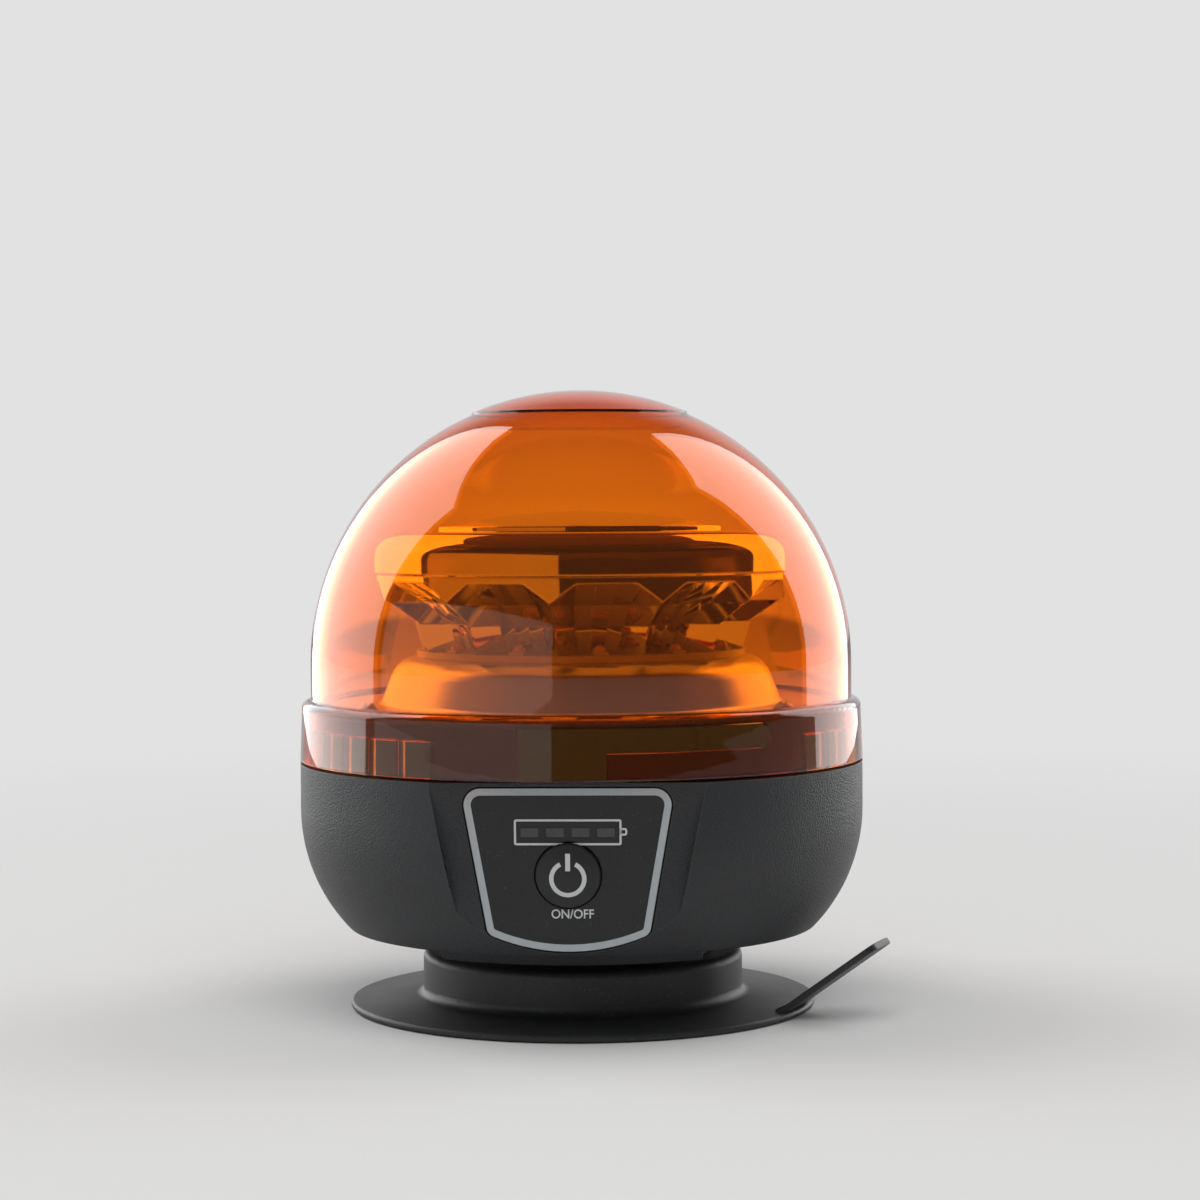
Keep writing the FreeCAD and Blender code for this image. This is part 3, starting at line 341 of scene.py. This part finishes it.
smooth_plastic, tree, shader = handled_finish("smooth_black_plastic", smudges=0.03, roughness=(0.40, 0.58),
                                              colours=((0.006, 0.006, 0.007), (0.011, 0.011, 0.012)))
tree.links.new(use_effect(tree, edges, Radius=0.0003)["Normal"], shader.inputs["Normal"])
shader.inputs["Specular IOR Level"].default_value = 0.2
put_on(smooth_plastic, "chassis", "battery_cradle", "charge_socket")

# Power pack: two wrapped cells in a cradle, with sprung nickel contacts at their ends.
# They lie under the driver board, either side of the magnet bolt.
wrap, tree, shader = handled_finish("shrunk_cell_wrap", smudges=0.01, roughness=(0.2, 0.4),
                                    colours=((0.02, 0.09, 0.22), (0.03, 0.14, 0.32)))
put_on(wrap, "battery_cells")

nickel, tree, shader = handled_finish("nickel_strip", smudges=0.003, roughness=(0.2, 0.4),
                                      colours=((0.55, 0.52, 0.46), (0.70, 0.67, 0.60)))
shader.inputs["Metallic"].default_value = 1.0
put_on(nickel, "battery_contacts")

# Circuit boards and what is soldered on them: green driver and control boards, black moulded parts.
# The driver board hangs under the chassis, and the control board stands behind the panel.
board_green, tree, shader = new_finish("green_solder_mask")
place = add_node(tree, "ShaderNodeTexCoord").outputs["Object"]
tracks = add_node(tree, "ShaderNodeTexBrick", {"Vector": place, "Scale": 160.0, "Mortar Size": 0.12,
                  "Mortar Smooth": 0.2}).outputs["Fac"]
paint(tree, shader, tracks, (0.010, 0.085, 0.030), (0.022, 0.16, 0.06))
roughen(tree, shader, tracks, 0.25, 0.4)
tree.links.new(bumped(tree, tracks, strength=0.3, depth=0.00004), shader.inputs["Normal"])
put_on(board_green, "driver_board", "control_board")

moulded, tree, shader = new_finish("moulded_component")
cell = use_effect(tree, grain, Cell=0.0003)
paint(tree, shader, cell["Tone"], (0.015, 0.015, 0.016), (0.04, 0.04, 0.042))
roughen(tree, shader, cell["Tone"], 0.45, 0.65)
put_on(moulded, "driver_parts", "button_switch")

# Control panel: a satin black plate let into the flat front of the bowl.
# A silver-grey border, a battery outline and ON/OFF are screen printed on it.
panel_film, tree, shader = new_finish("satin_panel_film")
mark = use_effect(tree, marks, Size=0.012)
cell = use_effect(tree, grain, Cell=0.00035)
paint(tree, shader, mark["Dust"], (0.0085, 0.009, 0.010), (0.06, 0.06, 0.062))
roughen(tree, shader, mark["Smudge"], 0.34, 0.52)
pebbled = bumped(tree, cell["Height"], strength=0.35, depth=0.00003,
                 normal=use_effect(tree, edges, Radius=0.0002)["Normal"])
tree.links.new(pebbled, shader.inputs["Normal"])
put_on(panel_film, "control_panel")


def mesh_points(mesh):
    """Corners of a mesh as an array of points."""
    points = np.empty(len(mesh.vertices) * 3, np.float32)
    mesh.vertices.foreach_get("co", points)
    return points.reshape(-1, 3).astype(float)


facet_across = np.array([1.0, 0.0, 0.0])
facet_out = -np.array(joint_named("button_press")["axis"])
facet_up = np.cross(facet_out, facet_across)
button_corners = mesh_points(frame["nodes"]["power_button"].data)
button_heights = button_corners @ facet_up
button_middle = (button_heights.min() + button_heights.max()) / 2
panel_face = (mesh_points(frame["nodes"]["control_panel"].data) @ facet_out).max()


def on_facet(x, v, w):
    """Point x across, v above the button's middle and w out from the panel's face."""
    x, v, w = np.broadcast_arrays(x, v, w)
    return (x[..., None] * facet_across + (v + button_middle)[..., None] * facet_up
            + (w + panel_face)[..., None] * facet_out)


def printed_ink(name, dark, light):
    """Screen-printed ink whose tone runs between two greys in small patches."""
    return handled_finish(name, smudges=0.0015, roughness=(0.38, 0.56), colours=(dark, light))[0]


silver_ink = printed_ink("silver_grey_ink", (0.38, 0.42, 0.445), (0.48, 0.52, 0.545))
pale_ink = printed_ink("pale_grey_ink", (0.56, 0.58, 0.60), (0.68, 0.70, 0.72))

ink_proud = 0.00004
ink_sunk = 0.00004
ink_sharp = 20
panel_top = 0.0189
panel_side_bottom = -0.0129
panel_bottom = -0.01675
panel_top_half = 0.02305
panel_bottom_half = 0.0175
panel_top_round = 0.0037
panel_bottom_round = 0.0025
border_outer = 0.00015
border_inner = 0.00165
arc_steps = 16


def arc_loop(arcs, inset):
    """Closed outline of arcs joined by straight lines, moved in by an inset: each arc keeps its centre
    and angles, and its radius loses the inset."""
    loop = []
    for centre, radius, start, end in arcs:
        angle = np.linspace(start, end, arc_steps)
        ways = np.stack([np.cos(angle), np.sin(angle)], axis=-1)
        loop.append(np.array(centre) + (radius - inset) * ways)
    return np.concatenate(loop)


def printed_band(name, arcs, outer, inner):
    """Ring of ink between two insets of an outline: a flat four-sided section carried round it."""
    section = [(outer, -ink_sunk), (outer, ink_proud), (inner, ink_proud), (inner, -ink_sunk)]
    rows = [on_facet(*arc_loop(arcs, inset).T, w) for inset, w in section]
    return grid_mesh(name, np.stack(rows), wrap_rows=True, wrap_columns=True, sharp=ink_sharp)


def panel_arcs():
    """Arcs of the plate: a shallow bottom arc, two lower corners and two upper corners, all tangent."""
    side = np.array([panel_top_half - panel_bottom_half, panel_top - panel_side_bottom])
    side = side / np.linalg.norm(side)
    normal = np.array([side[1], -side[0]])
    reach = normal @ np.array([panel_bottom_half, panel_side_bottom])
    lean = math.atan2(normal[1], normal[0])
    sag = panel_side_bottom - panel_bottom
    sweep = (panel_bottom_half ** 2 + sag ** 2) / (2 * sag)
    hub = np.array([0.0, panel_bottom + sweep])
    upper_v = panel_top - panel_top_round
    upper_x = (reach - panel_top_round - normal[1] * upper_v) / normal[0]
    near = normal * (reach - panel_bottom_round) - hub
    part = near @ side
    back = -part - math.sqrt(part ** 2 - near @ near + (sweep - panel_bottom_round) ** 2)
    lower = hub + near + back * side
    low_angle = math.atan2(lower[1] - hub[1], lower[0] - hub[0])
    half_turn = math.pi
    return [
        (hub, sweep, -half_turn - low_angle, low_angle),
        (lower, panel_bottom_round, low_angle, lean),
        ((upper_x, upper_v), panel_top_round, lean, half_turn / 2),
        ((-upper_x, upper_v), panel_top_round, half_turn / 2, half_turn - lean),
        ((-lower[0], lower[1]), panel_bottom_round, half_turn - lean, half_turn - low_angle),
    ]


def box_arcs(left, right, low, high, corner):
    """Arcs of an upright box outline with rounded corners."""
    quarter = math.pi / 2
    return [
        ((right - corner, low + corner), corner, -quarter, 0),
        ((right - corner, high - corner), corner, 0, quarter),
        ((left + corner, high - corner), corner, quarter, 2 * quarter),
        ((left + corner, low + corner), corner, 2 * quarter, 3 * quarter),
    ]


battery_half = 0.0115
battery_low = 0.0065
battery_high = 0.0121
battery_nub_low = 0.0086
battery_nub_high = 0.0102
battery_nub_reach = 0.0012
print_line = 0.00045
print_corner = 0.0005
nub_line = 0.9 * print_line
battery_arcs = box_arcs(-battery_half, battery_half, battery_low, battery_high, print_corner)
nub_arcs = box_arcs(battery_half - print_line, battery_half + battery_nub_reach,
                    battery_nub_low, battery_nub_high, print_corner)
border = printed_band("printed_border", panel_arcs(), border_outer, border_inner)
battery = printed_band("printed_battery", battery_arcs, 0.0, print_line)
battery_nub = printed_band("printed_battery_nub", nub_arcs, 0.0, nub_line)
for print_mesh, ink in ((border, silver_ink), (battery, pale_ink), (battery_nub, pale_ink)):
    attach(add_piece(print_mesh.name, print_mesh, ink), "base")

lettering_width = 0.0091
lettering_height = 0.0020
lettering_low = -0.0094
lettering_aside = 0.0009
lettering = bpy.data.curves.new("on_off", "FONT")
lettering.body = "ON/OFF"
lettering.extrude = 0.5
lettering.offset = 0.012
lettering.resolution_u = 6
sample = put_in_scene("on_off", lettering)
letters = bpy.data.meshes.new_from_object(sample.evaluated_get(bpy.context.evaluated_depsgraph_get()))
bpy.data.objects.remove(sample)
flat_letters = mesh_points(letters)
low, high = flat_letters.min(0), flat_letters.max(0)
share = (flat_letters - low) / (high - low)
placed = on_facet(lettering_aside + (share[:, 0] - 0.5) * lettering_width,
                  lettering_low + share[:, 1] * lettering_height,
                  share[:, 2] * (ink_proud + ink_sunk) - ink_sunk)
letters.vertices.foreach_set("co", placed.astype(np.float32).ravel())
letters.name = "printed_on_off"
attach(add_piece("printed_on_off", letters, pale_ink), "base")

# Charge windows: four smoky pips of one moulded light guide, flush in the plate.
# Four small lamps on the control board shine into it from behind.
smoke, tree, shader = handled_finish("smoked_light_guide", smudges=0.003, roughness=(0.16, 0.3),
                                     colours=((0.030, 0.032, 0.034), (0.065, 0.068, 0.072)))
put_on(smoke, "charge_light_guide")

# Power button: a soft moulded cap behind the plate's hole, with a low crown and a rolled edge.
# The ring and bar of the power sign are printed on the crown and travel with it.
button_rubber, tree, shader = handled_finish("soft_touch_button", smudges=0.006, roughness=(0.42, 0.6),
                                             colours=((0.010, 0.010, 0.011), (0.018, 0.018, 0.019)))
cell = use_effect(tree, grain, Cell=0.0003)
tree.links.new(bumped(tree, cell["Height"], strength=0.3, depth=0.00003), shader.inputs["Normal"])

button_radius = 0.007
button_crown_top = (button_corners @ facet_out).max() - panel_face
button_crown = 0.0009
button_roll = 0.0005
button_lip_top = -0.0015
button_lip_low = -0.0025
button_lip_radius = 0.00795
button_stem_radius = 0.0022
button_stem_low = -0.0033
crown_rows = 14
roll_rows = 9
button_columns = 96


def crown_height(radius):
    """Height of the button's crown above the plate: a parabola that falls by the crown at the rim."""
    return button_crown_top - button_crown * (radius / button_radius) ** 2


roll_start = button_radius - button_roll
top_radius = np.linspace(0, roll_start, crown_rows)
roll = np.linspace(0, math.pi / 2, roll_rows)[1:]
roll_fall = button_roll * (1 - np.cos(roll))
button_profile = np.concatenate([
    np.stack([top_radius, crown_height(top_radius)], axis=-1),
    np.stack([roll_start + button_roll * np.sin(roll), crown_height(roll_start) - roll_fall], axis=-1),
    [(button_radius, button_lip_top), (button_lip_radius, button_lip_top)],
    [(button_lip_radius, button_lip_low), (button_stem_radius, button_lip_low)],
    [(button_stem_radius, button_stem_low), (0, button_stem_low)],
])
button_turn = full_turn(button_columns)
profile_radius, profile_height = button_profile[:, :1], button_profile[:, 1:]
button_points = on_facet(profile_radius * np.cos(button_turn), profile_radius * np.sin(button_turn),
                         profile_height)
button_mesh = grid_mesh("soft_power_button", button_points, wrap_columns=True)
power_button = add_piece("soft_power_button", button_mesh, button_rubber)
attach(power_button, "button")
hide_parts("power_button")

sign_radius = 0.004
sign_stroke = 0.00095
sign_gap = math.radians(27)
sign_drop = -0.0005
sign_bar_top = 0.0049
sign_bar_low = 0.0012
sign_bar_half = 0.00052
sign_ring_steps = 72
sign_bar_steps = 8


def on_crown(x, v, lift):
    """Point on the button's crown, lifted off it along the facet's normal."""
    return on_facet(x, v, crown_height(np.hypot(x, v)) + lift)


upright = math.pi / 2
ring_angle = np.linspace(upright + sign_gap, upright + 2 * math.pi - sign_gap, sign_ring_steps)[:, None]
ring_radius = np.array([sign_radius, sign_radius, sign_radius - sign_stroke, sign_radius - sign_stroke])
ring_lift = np.array([-ink_sunk, ink_proud, ink_proud, -ink_sunk])
ring_points = on_crown(ring_radius * np.cos(ring_angle), sign_drop + ring_radius * np.sin(ring_angle),
                       ring_lift)
bar_height = np.linspace(sign_bar_low, sign_bar_top, sign_bar_steps)[:, None]
bar_side = sign_bar_half * np.array([-1, -1, 1, 1])
bar_points = on_crown(bar_side, bar_height, ring_lift)
for name, points in (("power_sign_ring", ring_points), ("power_sign_bar", bar_points)):
    sign_mesh = grid_mesh(name, points, wrap_columns=True, sharp=ink_sharp)
    sign = add_piece(name, sign_mesh, pale_ink)
    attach(sign, "button")

# Heat sink: an aluminium bell pressed from sheet, skimmed on a lathe and blasted to a satin, with a
# flange on the deck. Three cross-head screws hold it down, and it carries the light board on its flat top.

# Shared effect: fine lathe lines, as noise over the distance from the axis and the height.
turned, turned_in, turned_out = new_effect("turned_lines", {"Pitch": 0.0004}, {"Height": "NodeSocketFloat"})
turned_place = add_node(turned, "ShaderNodeTexCoord").outputs["Object"]
turned_axes = add_node(turned, "ShaderNodeSeparateXYZ", {0: turned_place}).outputs
flat_place = add_node(turned, "ShaderNodeCombineXYZ",
                      {"X": turned_axes["X"], "Y": turned_axes["Y"]}).outputs[0]
from_axis = add_node(turned, "ShaderNodeVectorMath", {0: flat_place}, operation="LENGTH").outputs["Value"]
profile_place = add_node(turned, "ShaderNodeCombineXYZ", {"X": from_axis, "Y": turned_axes["Z"]}).outputs[0]
rings = add_node(turned, "ShaderNodeTexNoise", {"Vector": profile_place, "Detail": 3.0,
                 "Scale": rate_of(turned, turned_in.outputs["Pitch"])})
turned.links.new(rings.outputs[0], turned_out.inputs["Height"])

aluminium, tree, shader = handled_finish("satin_aluminium", smudges=0.02, roughness=(0.24, 0.36),
                                         colours=((0.70, 0.70, 0.69), (0.86, 0.86, 0.85)))
shader.inputs["Metallic"].default_value = 1.0
line = use_effect(tree, turned, Pitch=0.0007)
cell = use_effect(tree, grain, Cell=0.00022)
lathe = bumped(tree, line["Height"], strength=0.12, depth=0.00005)
blast = bumped(tree, cell["Height"], strength=0.2, depth=0.00003, normal=lathe)
tree.links.new(blast, shader.inputs["Normal"])
put_on(aluminium, "heat_sink")

screw_count = 3
screw_first = 180
screw_circle = 0.053
screw_head_radius = 0.0026
screw_head = 0.0018
screw_dome_sweep = 1.1
screw_shank = 0.00125
screw_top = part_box("heat_sink_screws")[1].z
screw_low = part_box("heat_sink_screws")[0].z
head_rows = 30
head_columns = 96
cross_half = 0.00042
cross_reach = 0.0015
cross_depth = 0.0011
cross_floor_width = 0.6
cross_floor_length = 0.8


def smooth_step(value, low, high):
    """Runs from 0 at low to 1 at high with level ends."""
    share = np.clip((value - low) / (high - low), 0, 1)
    return share * share * (3 - 2 * share)


def cross_head(radius, angle):
    """Screw head over a disc: a cosine dome with a cross of two tapered slots sunk into it."""
    x, y = radius * np.cos(angle), radius * np.sin(angle)
    near, far = np.minimum(np.abs(x), np.abs(y)), np.maximum(np.abs(x), np.abs(y))
    side_wall = smooth_step(near, cross_floor_width * cross_half, cross_half)
    end_wall = smooth_step(far, cross_floor_length * cross_reach, cross_reach)
    slot = (1 - side_wall) * (1 - end_wall)
    rim = math.cos(screw_dome_sweep)
    dome = screw_head * (np.cos(radius / screw_head_radius * screw_dome_sweep) - rim) / (1 - rim)
    return np.stack([x, y, screw_top - screw_head + dome - cross_depth * slot], axis=-1)


def round_points(radius, angle, height):
    """Points of a round surface: at each angle, a radius out from the axis, at a height."""
    return np.stack(np.broadcast_arrays(radius * np.cos(angle), radius * np.sin(angle), height), axis=-1)


head_turn = full_turn(head_columns)
head_radius = np.linspace(0, screw_head_radius, head_rows)[:, None]
shank_radius = np.array([screw_shank, screw_shank, 0])[:, None]
shank_height = np.array([screw_top - screw_head, screw_low, screw_low])[:, None]
shank_points = round_points(shank_radius, head_turn, shank_height)
screw_points = np.concatenate([cross_head(head_radius, head_turn), shank_points])
for k in range(screw_count):
    where = math.radians(screw_first + 360 * k / screw_count)
    centre = screw_circle * np.array([math.sin(where), -math.cos(where), 0])
    name = f"sink_screw_{k + 1}"
    screw = add_piece(name, grid_mesh(name, screw_points + centre, wrap_columns=True), zinc)
    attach(screw, "base")
    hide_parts("heat_sink_screws")

# Light board: a white metal-core disc with twelve light sources, each a ceramic block under a clear dome.
# The yellow of the phosphor shows through the dome.
board_white, tree, shader = handled_finish("white_solder_mask", smudges=0.008, roughness=(0.25, 0.4),
                                           colours=((0.66, 0.66, 0.63), (0.80, 0.80, 0.77)))
tree.links.new(use_effect(tree, edges, Radius=0.0002)["Normal"], shader.inputs["Normal"])
put_on(board_white, "led_board")

light_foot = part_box("leds")[0].z
light_block_top = light_foot + 0.0007
light_dome_low = light_foot + 0.0009
light, tree, shader = new_finish("phosphor_light")
place = add_node(tree, "ShaderNodeTexCoord").outputs["Object"]
height = add_node(tree, "ShaderNodeSeparateXYZ", {0: place}).outputs["Z"]
domed = add_node(tree, "ShaderNodeMapRange", {"Value": height, "From Min": light_block_top,
                 "From Max": light_dome_low}).outputs[0]
paint(tree, shader, domed, (0.75, 0.74, 0.70), (0.85, 0.62, 0.12))
roughen(tree, shader, domed, 0.5, 0.12)
put_on(light, "leds", "charge_leds")

# Mirror crown and its cap: moulded plastic, vacuum metallised to a bright chrome.
# Twelve cups stand round the crown, one over each light source, and the cap closes it.
mirror, tree, shader = handled_finish("vacuum_metallised_chrome", smudges=0.015, roughness=(0.02, 0.07),
                                      colours=((0.84, 0.84, 0.85), (0.92, 0.92, 0.93)))
shader.inputs["Metallic"].default_value = 1.0
swell = bumped(tree, noise(tree, rate=120.0, detail=1.0), strength=0.05, depth=0.0002,
               normal=use_effect(tree, edges, Radius=0.0006)["Normal"])
tree.links.new(swell, shader.inputs["Normal"])
put_on(mirror, "reflector_crown", "reflector_cap")

# Lens: one clear amber polycarbonate moulding, a dome on a collar with bayonet grooves inside.
# It is polished, with a little waviness from the mould and fine dust on it.
amber, tree, shader = new_finish("amber_polycarbonate")
mark = use_effect(tree, marks, Size=0.03)
paint(tree, shader, mark["Smudge"], (1.0, 0.90, 0.80), (1.0, 0.95, 0.88))
roughen(tree, shader, mark["Dust"], 0.01, 0.12)
shader.inputs["IOR"].default_value = 1.58
shader.inputs["Transmission Weight"].default_value = 1.0
swell = bumped(tree, noise(tree, rate=45.0, detail=1.0), strength=0.08, depth=0.0004,
               normal=use_effect(tree, edges, Radius=0.0005)["Normal"])
tree.links.new(swell, shader.inputs["Normal"])
passed = add_node(tree, "ShaderNodeBsdfTransparent", {"Color": (0.92, 0.90, 0.87, 1)})
shadow_ray = add_node(tree, "ShaderNodeLightPath").outputs["Is Shadow Ray"]
lamp_through = add_node(tree, "ShaderNodeMixShader",
                        {0: shadow_ray, 1: shader.outputs[0], 2: passed.outputs[0]})
tree.links.new(lamp_through.outputs[0], tree.nodes["Material Output"].inputs["Surface"])
dye = add_node(tree, "ShaderNodeVolumeAbsorption", {"Color": (0.992, 0.73, 0.035, 1), "Density": 1020.0})
tree.links.new(dye.outputs[0], tree.nodes["Material Output"].inputs["Volume"])
put_on(amber, "lens_dome")

# Studio: a matte pale floor that fades into a pale backdrop. Three soft lamps light the surfaces, and
# two tall soft boxes and a low card stand nearer, for the reflections in the dome and the chrome.
# The camera stands where the photograph was taken.
backdrop = 0.76
floor_reach = 3.0
floor_drop = 0.0002
floor_rows = 40
floor_columns = 64
floor_fade_start = 0.12
floor_fade_end = 0.75
floor_radius = np.linspace(0, 1, floor_rows)[:, None] ** 2 * floor_reach
floor_points = round_points(floor_radius, full_turn(floor_columns), -floor_drop)
floor_index = np.arange(floor_rows * floor_columns).reshape(floor_rows, floor_columns)
floor_index = np.hstack([floor_index, floor_index[:, :1]])
pale, tree, shader = new_finish("pale_floor")
shader.inputs["Base Color"].default_value = (0.78, 0.78, 0.775, 1)
shader.inputs["Roughness"].default_value = 0.9
shader.inputs["Specular IOR Level"].default_value = 0.0
place = add_node(tree, "ShaderNodeTexCoord").outputs["Object"]
away = add_node(tree, "ShaderNodeVectorMath", {0: place}, operation="LENGTH").outputs["Value"]
fade = add_node(tree, "ShaderNodeMapRange", {"Value": away, "From Min": floor_fade_start,
                "From Max": floor_fade_end}, interpolation_type="SMOOTHSTEP").outputs[0]
glow = add_node(tree, "ShaderNodeEmission", {"Color": (backdrop, backdrop, backdrop, 1), "Strength": 1.0})
seen = add_node(tree, "ShaderNodeLightPath").outputs["Is Camera Ray"]
faded = add_node(tree, "ShaderNodeMixShader", {0: times(tree, fade, seen), 1: shader.outputs[0],
                 2: glow.outputs[0]})
tree.links.new(faded.outputs[0], tree.nodes["Material Output"].inputs["Surface"])
floor_mesh = bpy.data.meshes.new("pale_floor")
floor_mesh.from_pydata(floor_points.reshape(-1, 3).tolist(), [], grid_quads(floor_index).tolist())
floor_mesh.materials.append(pale)
floor = put_in_scene("pale_floor", floor_mesh)


def backlight(tree, strength):
    """White background light of a strength."""
    return add_node(tree, "ShaderNodeBackground", {"Color": (1, 1, 1, 1), "Strength": strength}).outputs[0]


room_fill = 0.34
room_dark = 0.06
room_dark_end = 0.66
room_pale_start = 0.94
world = bpy.data.worlds.new("studio")
bpy.context.scene.world = world
world.use_nodes = True
tree = world.node_tree
tree.nodes.clear()
way = add_node(tree, "ShaderNodeSeparateXYZ", {0: add_node(tree, "ShaderNodeTexCoord").outputs["Generated"]})
behind = add_node(tree, "ShaderNodeMapRange", {"Value": way.outputs["Y"], "From Min": room_dark_end,
                  "From Max": room_pale_start, "To Min": room_dark, "To Max": backdrop},
                  interpolation_type="SMOOTHSTEP").outputs[0]
ray = add_node(tree, "ShaderNodeLightPath").outputs
mirrored = add_node(tree, "ShaderNodeMath", {0: ray["Is Glossy Ray"], 1: ray["Is Transmission Ray"]},
                    operation="MAXIMUM").outputs[0]
unseen = add_node(tree, "ShaderNodeMixShader",
                  {0: mirrored, 1: backlight(tree, room_fill), 2: backlight(tree, behind)})
sky = add_node(tree, "ShaderNodeMixShader",
               {0: ray["Is Camera Ray"], 1: unseen.outputs[0], 2: backlight(tree, backdrop)})
tree.links.new(sky.outputs[0], add_node(tree, "ShaderNodeOutputWorld").inputs["Surface"])


def stand_at(place, right, upward, back):
    """Place and turn of a lamp or a camera, whose own axes run right, upward and back from its view."""
    stand = np.eye(4)
    stand[:3, :3] = np.stack([right, upward, back], axis=-1)
    stand[:3, 3] = place
    return Matrix(stand.tolist())


# Each soft box has its place, the height on the axis that it faces, its size, its power in watts
# and what it lights.
soft_boxes = {
    "left_wash": ((-0.85, 0.30, 1.05), 0.075, (0.90, 0.90), 6.0, "surfaces"),
    "right_wash": ((0.80, 0.45, 1.05), 0.075, (0.80, 0.80), 4.2, "surfaces"),
    "top_wash": ((0.10, -0.55, 1.10), 0.075, (0.90, 0.90), 4.6, "surfaces"),
    "left_glint": ((-0.765, 0.504, 0.70), 0.70, (1.16, 1.40), 12.4, "reflections"),
    "right_glint": ((0.678, 0.620, 0.75), 0.75, (0.80, 1.50), 9.0, "reflections"),
    "front_card": ((-0.638, -0.590, 0.22), 0.22, (1.40, 0.44), 1.0, "reflections"),
}
for name, (place, aim_height, size, power, lights) in soft_boxes.items():
    back = np.array(place) - np.array([0.0, 0.0, aim_height])
    back = back / np.linalg.norm(back)
    right = np.cross([0.0, 0.0, 1.0], back)
    right = right / np.linalg.norm(right)
    lamp = bpy.data.lights.new(name, "AREA")
    lamp.shape = "RECTANGLE"
    lamp.size, lamp.size_y = size
    lamp.energy = power
    holder = put_in_scene(name, lamp)
    holder.matrix_world = stand_at(place, right, np.cross(back, right), back)
    holder.visible_camera = False
    holder.visible_diffuse = lights == "surfaces"
    holder.visible_glossy = lights == "reflections"
    holder.visible_transmission = lights == "reflections"

picture_width = 1200
focal_pixels = 2955
aim_aside_pixels = 19.3
camera_distance = 0.685
camera_height = 0.1176
camera_azimuth = math.radians(3.1)
camera_dip = 0.0353
camera_yaw = aim_aside_pixels / focal_pixels
camera_roll = math.radians(0.34)
camera_place = (camera_distance * math.sin(camera_azimuth), -camera_distance * math.cos(camera_azimuth),
                camera_height)
turn = camera_azimuth - camera_yaw
heading = np.array([-math.sin(turn), math.cos(turn), 0])
right = np.array([math.cos(turn), math.sin(turn), 0])
ahead = math.cos(camera_dip) * heading - math.sin(camera_dip) * np.array([0, 0, 1.0])
upward = np.cross(right, ahead)
rolled_right = math.cos(camera_roll) * right - math.sin(camera_roll) * upward
rolled_up = math.cos(camera_roll) * upward + math.sin(camera_roll) * right
lens = bpy.data.cameras.new("camera")
lens.sensor_width = 36.0
lens.lens = lens.sensor_width * focal_pixels / picture_width
lens.clip_start = 0.01
camera = put_in_scene("camera", lens)
camera.matrix_world = stand_at(camera_place, rolled_right, rolled_up, -ahead)
bpy.context.scene.camera = camera
bpy.context.scene.view_settings.view_transform = "Standard"
